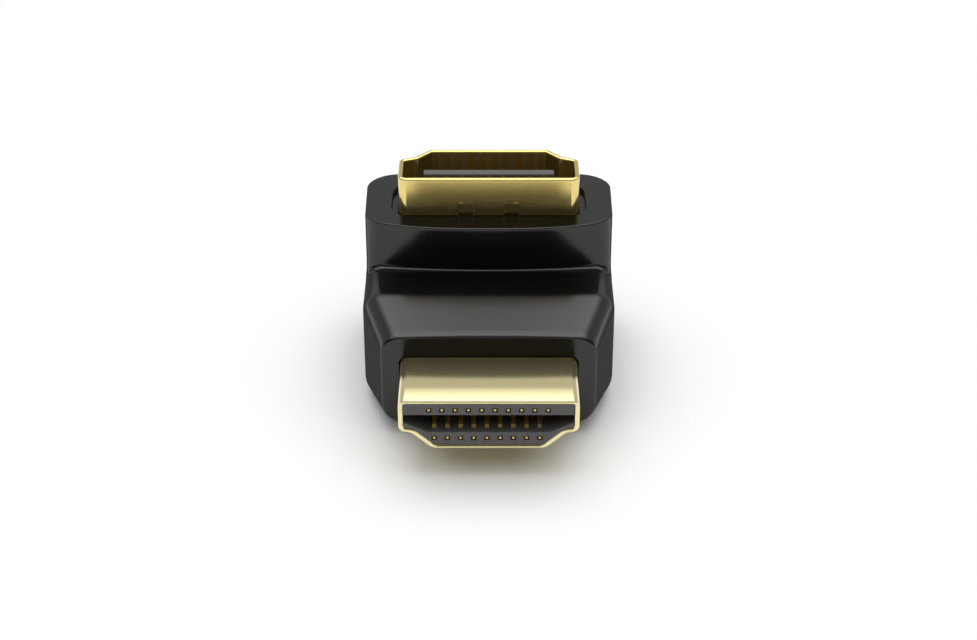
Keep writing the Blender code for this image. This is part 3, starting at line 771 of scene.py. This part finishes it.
@dataclass
class MouldedBody:
    """The L-shaped body: a tapering arm, an elbow, and a block with a recess round the socket.

    elbow_split says how many of the elbow's sections have their outer edge along the bottom, round the
    corner and up the rear.
    """

    plug: "Plug"
    socket: "Socket"
    board: "Board"
    arm_length: float = 9.585 * MM
    taper_length: float = 5.5 * MM
    knee_height: float = 9.72 * MM
    foot_height: float = 9.54 * MM
    body_width: float = 20.3 * MM
    block_top_width: float = 20.4 * MM
    face_width: float = 17.0 * MM
    face_top: float = 9.25 * MM
    face_bottom: float = 0.95 * MM
    wall_draft: float = 0.12 * MM
    wall_bow: float = 0.6 * MM
    top_bow: float = 1.44 * MM
    wall_bow_power: float = 2.0
    top_bow_power: float = 2.8
    side_bow: float = 0.12 * MM
    face_crown: float = 0.2 * MM
    taper_blend: float = 0.45 * MM
    arm_edge_radius: float = 1.6 * MM
    arm_bottom_radius: float = 1.9 * MM
    inner_edge_radius: float = 1.1 * MM
    block_edge_radius: float = 2.4 * MM
    top_front_radius: float = 1.65 * MM
    elbow_radius: float = 2.0 * MM
    inner_fillet: float = 0.15 * MM
    face_fillet: float = 0.2 * MM
    top_fillet: float = 0.1 * MM
    edge_change_at_elbow: float = 0.3
    bow_at_elbow: float = 0.7
    support: float = 0.05 * MM
    mouth_flare: float = 0.05 * MM
    mould_gap: float = 0.1 * MM
    recess_depth: float = 0.4 * MM
    recess_side_margin: float = 0.6 * MM
    recess_end_margin: float = 0.2 * MM
    recess_radius: float = 1.7 * MM
    steps: int = 14
    end_steps: int = 6
    arm_steps: int = 8
    elbow_split: tuple[int, int, int] = (12, 20, 12)
    block_levels: int = 14

    def __post_init__(self) -> None:
        """Reads the overall sizes from the frame."""
        low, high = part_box("overmould_body")
        self.face_y, self.rear_y = low.y, high.y
        self.height, self.half_width = high.z, self.body_width / 2
        self.foot_y = self.face_y + self.arm_length
        self.knee_y = self.face_y + self.taper_length
        self.radius_at_elbow = mixed(self.arm_edge_radius, self.inner_edge_radius, self.edge_change_at_elbow)

    def end_stations(self, radius: float) -> list[Point]:
        """(inset, distance from the end) of the sections that round an end face, from the face inwards."""
        return [(radius + self.support, 0.0), *quarter(radius, self.end_steps)]

    def soft_knee(self, y: float, value: float, before: float, after: float = 0.0) -> float:
        """A run that falls away from the arm's knee on each side, with a short blend at the knee.

        Args:
            y: where along the arm.
            value: its value at the knee, without the blend.
            before: its slope in front of the knee.
            after: its slope behind the knee, counted downwards.

        Returns:
            Its value there.
        """
        distance, blend = self.knee_y - y, self.taper_blend
        if distance <= -blend:
            return value + after * distance
        if distance >= blend:
            return value - before * distance
        return value - (before * (blend + distance) ** 2 + after * (blend - distance) ** 2) / (4 * blend)

    def arm_section(self, y: float, inset: float = 0.0) -> Section:
        """The arm's section between its front face and the elbow.

        Args:
            y: where along the arm.
            inset: how far its outline is moved in, where the front face is rounded.

        Returns:
            The section.
        """
        taper = self.taper_length
        rise = (self.knee_height - self.face_top) / taper
        fall = (self.knee_height - self.foot_height) / (self.foot_y - self.knee_y)
        top = self.soft_knee(y, self.knee_height, rise, fall)
        bottom = self.soft_knee(y, 0, -self.face_bottom / taper)
        half = self.soft_knee(y, self.half_width, (self.half_width - self.face_width / 2) / taper)
        knee_end = self.knee_y + self.taper_blend
        share = max(0.0, (y - knee_end) / (self.foot_y - self.inner_fillet - knee_end))
        bow = self.wall_bow * self.bow_at_elbow * share
        return Section(
            (y, top), (y, bottom), half,
            mixed(self.arm_edge_radius, self.radius_at_elbow, share), self.arm_bottom_radius,
            inner_bow=bow, outer_bow=bow, inset=inset,
            crown=self.face_crown * max(0.0, (self.knee_y - y) / taper),
        )

    def arm_sections(self) -> list[Section]:
        """Sections from the front face to the foot of the wall."""
        rounded = [
            self.arm_section(self.face_y + away, inset)
            for inset, away in self.end_stations(self.face_fillet)
        ]
        ends = [
            self.face_y + self.face_fillet, self.knee_y - self.taper_blend,
            self.knee_y + self.taper_blend, self.foot_y - self.inner_fillet,
        ]
        ys = [y for pair in zip(ends, ends[1:]) for y in spread(*pair, self.arm_steps)[1:]]
        return rounded + [self.arm_section(y) for y in ys[:-1]]

    def outer_edge(self, share: float) -> Point:
        """The outer edge in the elbow: along the bottom, round the corner and up the rear.

        Args:
            share: how far round the elbow.

        Returns:
            Its (y, z).
        """
        start, corner = self.foot_y - self.inner_fillet, self.rear_y - self.elbow_radius
        bottom, turning, _ = self.elbow_split
        count = sum(self.elbow_split)
        along_bottom, to_rear = bottom / count, (bottom + turning) / count
        if share <= along_bottom:
            return mixed(start, corner, share / along_bottom), 0.0
        if share >= to_rear:
            end = self.foot_height + self.inner_fillet
            return self.rear_y, mixed(self.elbow_radius, end, (share - to_rear) / (1 - to_rear))
        angle = math.pi / 2 * (share - along_bottom) / (to_rear - along_bottom)
        radius = self.elbow_radius
        return corner + radius * math.sin(angle), radius * (1 - math.cos(angle))

    def elbow_sections(self) -> list[Section]:
        """Sections that turn about the fillet in the inner corner."""
        middle = (self.foot_y - self.inner_fillet, self.foot_height + self.inner_fillet)
        sections = []
        for share in spread(0, 1, sum(self.elbow_split)):
            angle = math.pi / 2 * share
            bow = self.wall_bow * mixed(self.bow_at_elbow, 1.0, share)
            inner = (
                middle[0] + self.inner_fillet * math.sin(angle),
                middle[1] - self.inner_fillet * math.cos(angle),
            )
            sections.append(Section(
                inner, self.outer_edge(share), self.half_width,
                mixed(self.radius_at_elbow, self.inner_edge_radius, share),
                mixed(self.arm_bottom_radius, self.block_edge_radius, share),
                inner_bow=bow, outer_bow=bow, side_bow=self.side_bow * share,
            ))
        return sections

    def block_sections(self) -> list[Section]:
        """Sections from the foot of the wall to the top face."""
        start = self.foot_height + self.inner_fillet
        zs = spread(start, self.height - self.top_fillet, self.block_levels)
        levels = [(0.0, z) for z in zs[1:-1]]
        levels += [(inset, self.height - away) for inset, away in self.end_stations(self.top_fillet)[::-1]]
        sections = []
        for inset, z in levels:
            share = (z - start) / (self.height - start)
            sections.append(Section(
                (self.foot_y + self.wall_draft * share, z), (self.rear_y, z),
                mixed(self.half_width, self.block_top_width / 2, share),
                mixed(self.inner_edge_radius, self.top_front_radius, share), self.block_edge_radius,
                inner_bow=mixed(self.wall_bow, self.top_bow, share), outer_bow=self.wall_bow,
                bow_power=mixed(self.wall_bow_power, self.top_bow_power, share),
                side_bow=self.side_bow, inset=inset,
            ))
        return sections

    def shape(self) -> Object:
        """Lofts the outside."""
        solid = Solid()
        sections = self.arm_sections() + self.elbow_sections() + self.block_sections()
        rings = [solid.ring(section.points()) for section in sections]
        return solid.skin(rings).to_object("moulded_body")

    def recess(self) -> Object:
        """The shallow recess in the top face, its mouth a little flared."""
        half = self.socket.half_width + self.recess_side_margin
        end = self.socket.half_depth + self.recess_end_margin
        profile = Profile.mirrored([
            Corner(half, end, self.recess_radius), Corner(half, -end, self.recess_radius),
        ])
        stations = mouth(self.height, self.height - self.recess_depth, self.mouth_flare)
        return lofted("recess", profile.sections(stations[::-1], self.steps), self.socket.along)

    def build(self) -> None:
        """Makes the body, with room for the board and the rear ends of both connectors."""
        gap, plug, socket, board = self.mould_gap, self.plug, self.socket, self.board
        stations = mouth(self.face_y, plug.end_y + gap, self.mouth_flare)
        bore = plug.profile.inset(-gap).sections(stations, self.steps)
        well = socket.profile.inset(-socket.sheet - gap).outline(self.steps)
        room = board.room.inset(-gap).outline(self.steps)
        body = combine(self.shape(), (
            lofted("plug bore", bore, plug.along),
            pushed("board room", room, board.room_bottom - gap, board.room_top + gap, level),
            pushed("socket well", well, board.room_top, self.height + OVERRUN, socket.along),
            self.recess(),
        ))
        hand_over(body, BODY_FINISH, "overmould_body")


# Circuit board


@dataclass
class Board:
    """The circuit board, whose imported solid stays, and the room for it in the body."""

    plug: "Plug"
    socket: "Socket"
    margin: float = 0.1 * MM
    nose_radius: float = 0.3 * MM
    corner_radius: float = 1.2 * MM
    tail_room: float = 0.4 * MM

    def __post_init__(self) -> None:
        """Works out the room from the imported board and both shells."""
        low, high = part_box("circuit_board")
        side, shoulder = self.plug.half_width, self.plug.ear_end_y + self.margin
        self.room = Profile.mirrored([
            Corner(high.x, high.y, self.corner_radius),
            Corner(high.x, shoulder, self.nose_radius),
            Corner(side, shoulder, self.nose_radius),
            Corner(side, low.y, self.nose_radius),
        ])
        self.room_top = self.socket.base_z + 2 * self.margin
        self.room_bottom = min(self.socket.leg_bottom_z, low.z - self.tail_room)

    def build(self) -> None:
        """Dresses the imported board."""
        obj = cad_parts["circuit_board"]
        BOARD_FINISH.dress(obj)
        LOG.info("circuit_board: dressed")


# Plug


@dataclass(frozen=True)
class PlugRow(ContactRow):
    """A row of plug contacts: its heights are counted from the plug's axis."""

    tip: float
    face: float
    inward: int


@dataclass
class Plug:
    """The plug: a stamped shell, an insulator of two bars round a cavity, and two rows of contacts."""

    rows: AcrossRow
    sheet: float = 0.35 * MM
    side_drop: float = 0.72 * MM
    ledge_half: float = 6.05 * MM
    floor_half: float = 4.36 * MM
    corner_radius: float = 0.55 * MM
    curve_radius: float = 1.0 * MM
    ear_low: float = -0.1 * MM
    ear_high: float = 1.3 * MM
    taper_length: float = 1.9 * MM
    taper_drop: float = 0.12 * MM
    taper_power: float = 1.5
    bevel_height: float = 0.1 * MM
    bevel_depth: float = 0.045 * MM
    chamfer_height: float = 0.18 * MM
    chamfer_depth: float = 0.1 * MM
    insulator_gap: float = 0.04 * MM
    front_setback: float = 0.05 * MM
    cavity_depth: float = 7.2 * MM
    cavity_top: float = 0.81 * MM
    cavity_side: float = 0.15 * MM
    cavity_floor: float = 0.77 * MM
    cavity_floor_half: float = 4.68 * MM
    front_wall: float = 0.55 * MM
    chamfer: float = 0.04 * MM
    contact_width: float = 0.38 * MM
    contact_sheet: float = 0.2 * MM
    contact_gap: float = 0.04 * MM
    tip_gap: float = 0.015 * MM
    contact_round: float = 0.05 * MM
    hole_height: float = 0.39 * MM
    hole_width: float = 0.39 * MM
    tip_setback: float = 0.06 * MM
    tip_chamfer: float = 0.1 * MM
    tip_slope: float = 1.7
    blade_proud: float = 0.18 * MM
    blade_share: float = 0.5
    blade_end_share: float = 0.6
    solder_gap: float = 0.05 * MM
    tail_length: float = 1.7 * MM
    steps: int = 10
    taper_steps: int = 12
    contact_rows: tuple[PlugRow, ...] = (
        PlugRow(10, 1.016 * MM, -0.03 * MM, "upper", tip=1.24 * MM, face=0.81 * MM, inward=-1),
        PlugRow(9, 1.016 * MM, -0.14 * MM, "lower", tip=-1.32 * MM, face=-0.77 * MM, inward=1),
    )

    def __post_init__(self) -> None:
        """Reads the shell's and the insulator's ends from the frame."""
        low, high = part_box("plug_shell")
        _, insulator_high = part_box("plug_insulator")
        board_low, board_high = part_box("circuit_board")
        self.half_width, self.half_height = high.x, (high.z - low.z) / 2
        self.axis_z = (low.z + high.z) / 2
        self.rim_y, self.ear_end_y = low.y, high.y
        self.front_y, self.end_y = self.rim_y + self.front_setback, insulator_high.y
        self.board_y, self.board_half = board_low.y, (board_high.z - board_low.z) / 2
        self.profile = Profile.mirrored([
            Corner(self.half_width, self.half_height, self.corner_radius),
            Corner(self.half_width, -self.side_drop, self.corner_radius),
            Corner(self.ledge_half, -self.side_drop, self.curve_radius),
            Corner(self.floor_half, -self.half_height, self.curve_radius),
        ])

    def along(self, a: float, b: float, y: float) -> Vector:
        """A point of the plug: a to the right, b up from its axis, y along it."""
        return Vector((a, y, self.axis_z + b))

    def on_shell(self, a: float, b: float, y: float) -> Vector:
        """A point of the shell, lowered near the rim where it lies above the axis."""
        ahead = max(0.0, (self.rim_y + self.taper_length - y) / self.taper_length)
        drop = self.taper_drop * ahead ** self.taper_power * max(0.0, b) / self.half_height
        return self.along(a, b - drop, y)

    def rim_stations(self) -> list[Point]:
        """(inset, y) of the shell's rings: forward outside, over the bevelled rim, and back inside."""
        rim, sheet = self.rim_y, self.sheet
        tapered = spread(rim + self.taper_length, rim + self.bevel_depth, self.taper_steps)
        return [
            *((0.0, y) for y in (self.ear_end_y, self.end_y, *tapered)),
            (self.bevel_height, rim), (sheet - self.chamfer_height, rim),
            *((sheet, y) for y in (rim + self.chamfer_depth, self.end_y, self.ear_end_y)),
        ]

    def build_shell(self) -> None:
        """Makes the stamped shell, with an ear on each side for the board."""
        sections = self.profile.sections(self.rim_stations(), self.steps)
        shell = lofted("plug_shell_gold", sections, self.on_shell, hollow=True)
        beyond, inside = self.half_width + OVERRUN, self.half_width - 2 * self.sheet
        end, reach, axis = self.ear_end_y + OVERRUN, 2 * self.half_height, self.axis_z
        between = boxes("between ears", [
            ((-inside, self.end_y, axis - reach), (inside, end, axis + reach)),
        ])
        above_and_below = boxes("above and below ears", [
            ((-beyond, self.end_y, axis + self.ear_high), (beyond, end, axis + reach)),
            ((-beyond, self.end_y, axis - reach), (beyond, end, axis + self.ear_low)),
        ])
        hand_over(combine(shell, (between, above_and_below)), SHELL_FINISH, "plug_shell")

    def cavity(self) -> Object:
        """The cavity that takes a socket's tongue, with a fine chamfer round its mouth."""
        wide, inner, narrow = self.half_width, self.half_width - self.sheet, self.cavity_floor_half
        sections = []
        for inset, y in mouth(self.front_y, self.front_y + self.cavity_depth, self.chamfer):
            top, side, floor = self.cavity_top - inset, self.cavity_side + inset, inset - self.cavity_floor
            sections.append(([
                (wide, top), (-wide, top), (-wide, side), (-inner, side),
                (-narrow, floor), (narrow, floor), (inner, side), (wide, side),
            ], y))
        return lofted("plug cavity", sections, self.along)

    def square(self, name: str, row: PlugRow, gap: float, stations: Sequence[Point]) -> Object:
        """A square solid on a row's axis.

        Args:
            name: the object's name.
            row: the row.
            gap: how much smaller than the contact's hole it is on each side.
            stations: (inset, y) of its sections.

        Returns:
            The solid, at x = 0.
        """
        wide, tall = self.hole_width / 2 - gap, self.hole_height / 2 - gap
        sections = [(rectangle(wide - inset, tall - inset, row.tip), y) for inset, y in stations]
        return lofted(name, sections, self.along)

    def row_cutters(self, row: PlugRow) -> list[Object]:
        """The groove and the front hole of every contact in a row.

        Args:
            row: the row.

        Returns:
            The two cutters, each repeated along the row.
        """
        half, axis = self.contact_width / 2 + self.contact_gap, self.axis_z
        deep = row.tip - row.inward * self.hole_height / 2
        shallow = row.face + row.inward * (self.blade_proud + self.contact_gap)
        low, high = sorted((axis + deep, axis + shallow))
        behind = self.front_y + self.front_wall
        groove = boxes(f"{row.side} groove", [
            ((-half, behind, low), (half, self.end_y + OVERRUN, high)),
        ])
        stations = mouth(self.front_y, behind + self.front_wall, self.chamfer)
        hole = self.square(f"{row.side} tip hole", row, 0.0, stations)
        return [self.rows.repeat(cutter, row) for cutter in (groove, hole)]

    def build_insulator(self) -> None:
        """Makes the insulator: two bars round the cavity, with a groove and a hole for each contact."""
        outline = self.profile.inset(self.sheet + self.insulator_gap).outline(self.steps)
        insulator = pushed("plug_insulator_bars", outline, self.front_y, self.end_y, self.along)
        combine(insulator, [self.cavity()])
        for row in self.contact_rows:
            combine(insulator, self.row_cutters(row))
        hand_over(insulator, PLUG_PLASTIC_FINISH, "plug_insulator")

    def contact_path(self, row: PlugRow) -> list[Point]:
        """A contact's run: tip in its hole, blade along the cavity, tail on the board.

        Args:
            row: the contact's row.

        Returns:
            The (y, z) of its middle, from the tip to the tail.
        """
        front = self.front_y + self.tip_setback
        step = self.front_y + self.front_wall + self.contact_gap + self.contact_sheet / 2
        blade = row.face + row.inward * (self.blade_proud - self.contact_sheet / 2)
        low = row.face - row.inward * self.contact_sheet
        tail = -row.inward * (self.board_half + self.solder_gap + self.contact_sheet / 2)
        tail_y = self.board_y + abs(low - tail) + self.contact_sheet
        run = [
            (mixed(front, step, 0.5), row.tip), (step, row.tip), (step + self.contact_sheet, blade),
            (mixed(step, self.end_y, self.blade_share), blade),
            (mixed(step, self.end_y, self.blade_end_share), low), (self.end_y, low),
            (tail_y, tail), (tail_y + self.tail_length, tail),
        ]
        return [(y, self.axis_z + z) for y, z in run]

    def tip(self, row: PlugRow) -> Object:
        """The square head of a contact, chamfered towards its end."""
        front = self.front_y + self.tip_setback
        return self.square("contact tip", row, self.tip_gap, [
            (self.tip_chamfer, front), (0.0, front + self.tip_chamfer * self.tip_slope),
            (0.0, self.front_y + self.front_wall),
        ])

    def build_contacts(self) -> None:
        """Makes both rows of contacts."""
        for row in self.contact_rows:
            path = self.contact_path(row)
            contact = strip(f"plug_contacts_{row.side}", path, self.contact_sheet, self.contact_width)
            soften(contact, self.contact_round)
            combine(contact, [self.tip(row)], Joining.WELD)
            self.rows.repeat(contact, row, PLUG_CONTACT_FINISH.material())
            hand_over(contact, PLUG_CONTACT_FINISH, *row.nodes("plug_contact"))

    def build(self) -> None:
        """Makes the plug."""
        self.build_shell()
        self.build_insulator()
        self.build_contacts()


# Socket


@dataclass(frozen=True)
class SocketRow(ContactRow):
    """A row of socket contacts, on one side of the tongue."""

    width: float
    foot: float
    outward: int


@dataclass
class Socket:
    """The socket: a stamped shell with two spring fingers, an insulator with a tongue, and contacts."""

    rows: AcrossRow
    sheet: float = 0.4 * MM
    side_drop: float = 0.62 * MM
    ledge_half: float = 5.85 * MM
    ledge_drop: float = 1.05 * MM
    floor_half: float = 4.7 * MM
    corner_radius: float = 0.3 * MM
    ledge_radius: float = 0.5 * MM
    floor_radius: float = 0.2 * MM
    outer_round: float = 0.17 * MM
    inner_round: float = 0.15 * MM
    leg_width: float = 0.6 * MM
    leg_spacing: float = 1.2 * MM
    leg_clearance: float = 0.2 * MM
    window_width: float = 1.25 * MM
    window_spacing: float = 3.72 * MM
    window_below_rim: float = 2.08 * MM
    window_length: float = 3.4 * MM
    finger_count: int = 2
    finger_width: float = 1.15 * MM
    finger_sheet: float = 0.18 * MM
    finger_tip_gap: float = 0.25 * MM
    finger_lean: float = 0.08 * MM
    finger_upright: float = 1.3 * MM
    finger_root: float = 0.4 * MM
    insulator_gap: float = 0.05 * MM
    base_height: float = 2.4 * MM
    tongue_width: float = 10.74 * MM
    tongue_thickness: float = 0.8 * MM
    tongue_offset: float = 0.16 * MM
    tongue_chamfer: float = 0.1 * MM
    tongue_round: float = 0.04 * MM
    contact_sheet: float = 0.18 * MM
    contact_proud: float = 0.03 * MM
    contact_gap: float = 0.04 * MM
    contact_round: float = 0.03 * MM
    groove_end: float = 0.14 * MM
    solder_gap: float = 0.05 * MM
    tongue_turn: float = 30.0
    steps: int = 10
    rim_steps: int = 5
    contact_rows: tuple[SocketRow, ...] = (
        SocketRow(9, 1.149 * MM, 0.0, "front", width=0.48 * MM, foot=3.0 * MM, outward=-1),
        SocketRow(10, 1.0 * MM, 0.0, "back", width=0.4 * MM, foot=2.3 * MM, outward=1),
    )

    def __post_init__(self) -> None:
        """Reads the shell's and the insulator's ends from the frame."""
        low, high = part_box("socket_shell")
        base_low, base_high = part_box("socket_insulator")
        _, board_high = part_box("circuit_board")
        self.leg_bottom_z, self.rim_z = low.z, high.z
        self.half_width, self.half_depth = high.x, (high.y - low.y) / 2
        self.axis_y = (low.y + high.y) / 2
        self.base_z, self.tongue_z = base_low.z, base_high.z
        self.shell_z = base_low.z + self.leg_clearance
        self.board_z = board_high.z
        self.window_top = self.rim_z - self.window_below_rim
        self.window_bottom = self.window_top - self.window_length
        self.finger_row = Row(self.finger_count, self.window_spacing, 0.0)
        self.tongue_y = self.axis_y + self.tongue_offset
        open_half, open_depth = self.half_width - self.sheet, self.half_depth - self.sheet
        self.profile = Profile.mirrored([
            Corner(open_half, open_depth, self.corner_radius),
            Corner(open_half, -self.side_drop, self.floor_radius),
            Corner(self.ledge_half, -self.ledge_drop, self.ledge_radius),
            Corner(self.floor_half, -open_depth, self.floor_radius),
        ])

    def along(self, a: float, b: float, z: float) -> Vector:
        """A point of the socket: a to the right, b forward from its axis, z along it."""
        return Vector((a, self.axis_y - b, z))

    def rim_stations(self) -> list[Point]:
        """(inset, z) of the shell's rings: up outside, round the rim, and down inside."""
        rim, bottom, sheet = self.rim_z, self.leg_bottom_z, self.sheet
        outer = [(along - sheet, rim - inset) for inset, along in quarter(self.outer_round, self.rim_steps)]
        inner = [(-inset, rim - along) for inset, along in quarter(self.inner_round, self.rim_steps)]
        return [(-sheet, bottom), *outer, *inner, (0.0, bottom)]

    def leg_cutters(self) -> list[Object]:
        """What is cut from the shell's foot so that four legs are left."""
        y, bottom = self.axis_y, self.leg_bottom_z - OVERRUN
        depth, inside = 2 * self.half_depth, self.half_width - 2 * self.sheet
        middle = y - (self.half_depth - self.sheet - self.corner_radius - self.side_drop) / 2
        half, apart = self.leg_width / 2, self.leg_spacing / 2
        edges = [
            y - depth, middle - apart - half, middle - apart + half,
            middle + apart - half, middle + apart + half, y + depth,
        ]
        wide = self.half_width + OVERRUN
        return [
            boxes("between legs", [((-inside, y - depth, bottom), (inside, y + depth, self.shell_z))]),
            boxes("beside legs", [
                ((-wide, start, bottom), (wide, end, self.shell_z))
                for start, end in zip(edges[::2], edges[1::2])
            ]),
        ]

    def window(self) -> Object:
        """The cut for one spring finger, through the front wall."""
        half, y = self.window_width / 2, self.axis_y
        return boxes("finger window", [(
            (-half, y - 2 * self.half_depth, self.window_bottom),
            (half, y - self.half_depth / 2, self.window_top),
        )])

    def finger(self) -> Object:
        """One spring finger, rooted in the wall and leaning in towards its upright tip."""
        wall_y = self.axis_y - self.half_depth + self.sheet / 2
        tip_y = wall_y + self.finger_lean
        return strip("spring finger", [
            (wall_y, self.window_bottom - self.finger_root), (wall_y, self.window_bottom),
            (tip_y, self.window_top - self.finger_upright), (tip_y, self.window_top - self.finger_tip_gap),
        ], self.finger_sheet, self.finger_width)

    def build_shell(self) -> None:
        """Makes the stamped shell with its legs, windows and spring fingers."""
        sections = self.profile.sections(self.rim_stations(), self.steps)
        shell = lofted("socket_shell_gold", sections, self.along, hollow=True)
        windows = self.rows.repeat(self.window(), self.finger_row)
        combine(shell, [*self.leg_cutters(), windows])
        combine(shell, [self.rows.repeat(self.finger(), self.finger_row)], Joining.WELD)
        hand_over(shell, SOCKET_SHELL_FINISH, "socket_shell")

    def grooves(self) -> list[Object]:
        """A groove for each contact, up both faces of the tongue."""
        cutters = []
        for row in self.contact_rows:
            face = self.tongue_y + row.outward * self.tongue_thickness / 2
            inner = face - row.outward * (self.contact_sheet - self.contact_proud + self.contact_gap)
            outer = face + row.outward * (self.contact_proud + self.contact_gap)
            near, far = sorted((inner, outer))
            reach = row.width / 2 + self.contact_gap
            groove = boxes(f"{row.side} groove", [(
                (-reach, near, self.base_z - OVERRUN), (reach, far, self.tongue_z - self.groove_end),
            )])
            cutters.append(self.rows.repeat(groove, row))
        return cutters

    def build_insulator(self) -> None:
        """Makes the insulator: base and tongue in one, with a groove for each contact."""
        outline = self.profile.inset(self.insulator_gap).outline(self.steps)
        base_top = self.base_z + self.base_height
        base = pushed("socket_insulator_tongue", outline, self.base_z, base_top, self.along)
        half, chamfer, y, top = self.tongue_thickness / 2, self.tongue_chamfer, self.tongue_y, self.tongue_z
        root = self.base_z + self.base_height / 2
        tongue = pushed("tongue", [
            (y - half, root), (y + half, root), (y + half, top - chamfer),
            (y + half - chamfer, top), (y - half + chamfer, top), (y - half, top - chamfer),
        ], -self.tongue_width / 2, self.tongue_width / 2, across)
        soften(tongue, self.tongue_round, self.tongue_turn)
        combine(base, [tongue], Joining.WELD)
        combine(base, self.grooves())
        hand_over(base, SOCKET_PLASTIC_FINISH, "socket_insulator")

    def build_contacts(self) -> None:
        """Makes both rows of contacts: up the tongue, with a foot on the board."""
        foot_z = self.board_z + self.solder_gap + self.contact_sheet / 2
        top = self.tongue_z - self.groove_end - self.contact_gap
        for row in self.contact_rows:
            reach = self.tongue_thickness / 2 + self.contact_proud - self.contact_sheet / 2
            y = self.tongue_y + row.outward * reach
            path = [(y, top), (y, foot_z), (y + row.outward * row.foot, foot_z)]
            contact = strip(f"socket_contacts_{row.side}", path, self.contact_sheet, row.width)
            soften(contact, self.contact_round)
            self.rows.repeat(contact, row, CONTACT_FINISH.material())
            hand_over(contact, CONTACT_FINISH, *row.nodes("socket_contact"))

    def build(self) -> None:
        """Makes the socket."""
        self.build_shell()
        self.build_insulator()
        self.build_contacts()


# Studio


@dataclass
class Studio:
    """A pale floor, a graded sky, one large softbox, and the camera."""

    floor_radius: float = 3.0
    floor_sides: int = 96
    floor_color: float = 0.9
    shadow_reach: Point = (14 * MM, 70 * MM)
    high_sky: float = 1.5
    band_sky: float = 1.1
    rear_sky: float = 0.59
    front_sky: float = 0.08
    horizon_glow: float = 0.25
    rear_rise: Point = (0.60, 0.66)
    front_rise: Point = (0.66, 0.80)
    band_rise: Point = (0.68, 0.705)
    band_fall: Point = (0.76, 0.80)
    horizon_fade: Point = (0.03, 0.2)
    turn: Point = (-0.3, 0.3)
    softbox_distance: float = 0.6
    softbox_elevation: float = 80.0
    softbox_size: Point = (0.6, 0.5)
    softbox_radiance: float = 1.38
    camera_position: tuple[float, float, float] = (0.0, -144.1 * MM, 95.7 * MM)
    camera_pitch: float = 31.76
    lens: float = 76.64
    sensor: float = 36.0
    shift: float = -0.0003
    clip_start: float = 1.0 * MM

    def build_floor(self) -> None:
        """Lays the floor: plain near the object, where its shadow falls, and pure white far off."""
        bm = bmesh.new()
        bmesh.ops.create_circle(bm, cap_ends=True, segments=self.floor_sides, radius=self.floor_radius)
        mesh = bpy.data.meshes.new("floor")
        bm.to_mesh(mesh)
        bm.free()
        made = bpy.data.materials.new("studio paper")
        made.use_nodes = True
        made.node_tree.nodes.clear()
        graph = Graph(made.node_tree)
        where = graph.add("ShaderNodeTexCoord").outputs["Object"]
        distance = graph.add("ShaderNodeVectorMath", {0: where}, operation="LENGTH").outputs["Value"]
        share = graph.ranged(distance, self.shadow_reach)
        paper = graph.add("ShaderNodeBsdfDiffuse", {"Color": (*[self.floor_color] * 3, 1.0)})
        white = graph.add("ShaderNodeEmission")
        mix = graph.add("ShaderNodeMixShader", {0: share, 1: paper.outputs[0], 2: white.outputs[0]})
        graph.add("ShaderNodeOutputMaterial", {"Surface": mix.outputs[0]})
        mesh.materials.append(made)
        linked("floor", mesh)

    def build_sky(self) -> None:
        """Grades the world: bright high up behind the object, dim below that, dark in front."""
        world = bpy.data.worlds.new("graded sky")
        bpy.context.scene.world = world
        world.use_nodes = True
        world.node_tree.nodes.clear()
        graph = Graph(world.node_tree)
        way = graph.add("ShaderNodeTexCoord").outputs["Generated"]
        parts = graph.add("ShaderNodeSeparateXYZ", {0: way}).outputs
        rear = graph.ranged(parts["Z"], self.rear_rise, (self.rear_sky, self.high_sky))
        front = graph.ranged(parts["Z"], self.front_rise, (self.front_sky, self.high_sky))
        rearward = graph.ranged(parts["Y"], self.turn)
        sky = graph.maths("MULTIPLY_ADD", graph.maths("SUBTRACT", rear, front), rearward, front)
        glow = graph.ranged(parts["Z"], self.horizon_fade, (self.horizon_glow, 0.0))
        rising = graph.ranged(parts["Z"], self.band_rise, (0.0, self.band_sky))
        falling = graph.ranged(parts["Z"], self.band_fall, (1.0, 0.0))
        band = graph.maths("MULTIPLY", rising, falling)
        strength = graph.maths("ADD", graph.maths("ADD", sky, glow), band)
        light = graph.add("ShaderNodeBackground", {"Strength": strength})
        graph.add("ShaderNodeOutputWorld", {"Surface": light.outputs[0]})

    def build_softbox(self) -> None:
        """Hangs the softbox behind and above the object."""
        width, height = self.softbox_size
        lamp = bpy.data.lights.new("softbox", "AREA")
        lamp.shape = "RECTANGLE"
        lamp.size, lamp.size_y = width, height
        lamp.energy = self.softbox_radiance * math.pi * width * height
        obj = linked("softbox", lamp)
        elevation = math.radians(self.softbox_elevation)
        away = Vector((0, math.cos(elevation), math.sin(elevation)))
        obj.location = away * self.softbox_distance
        obj.rotation_euler = away.to_track_quat("Z", "X").to_euler()
        obj.visible_camera = False

    def build_camera(self) -> None:
        """Sets the camera where the photograph's was."""
        data = bpy.data.cameras.new("camera")
        data.lens, data.sensor_width, data.shift_x = self.lens, self.sensor, self.shift
        data.clip_start = self.clip_start
        camera = linked("camera", data)
        camera.location = self.camera_position
        camera.rotation_euler = (math.radians(90 - self.camera_pitch), 0, 0)
        bpy.context.scene.camera = camera

    def build(self) -> None:
        """Sets up the whole studio."""
        bpy.context.scene.view_settings.view_transform = "Standard"
        self.build_floor()
        self.build_sky()
        self.build_softbox()
        self.build_camera()
        LOG.info("studio: floor, sky, softbox and camera")


def main() -> None:
    """Builds every piece and the studio."""
    logging.basicConfig(level=logging.INFO, format="%(name)s %(message)s")
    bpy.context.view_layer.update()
    rows = AcrossRow()
    plug, socket = Plug(rows), Socket(rows)
    board = Board(plug, socket)
    for made in (MouldedBody(plug, socket, board), board, plug, socket, Studio()):
        made.build()


if __name__ == "__main__":
    main()
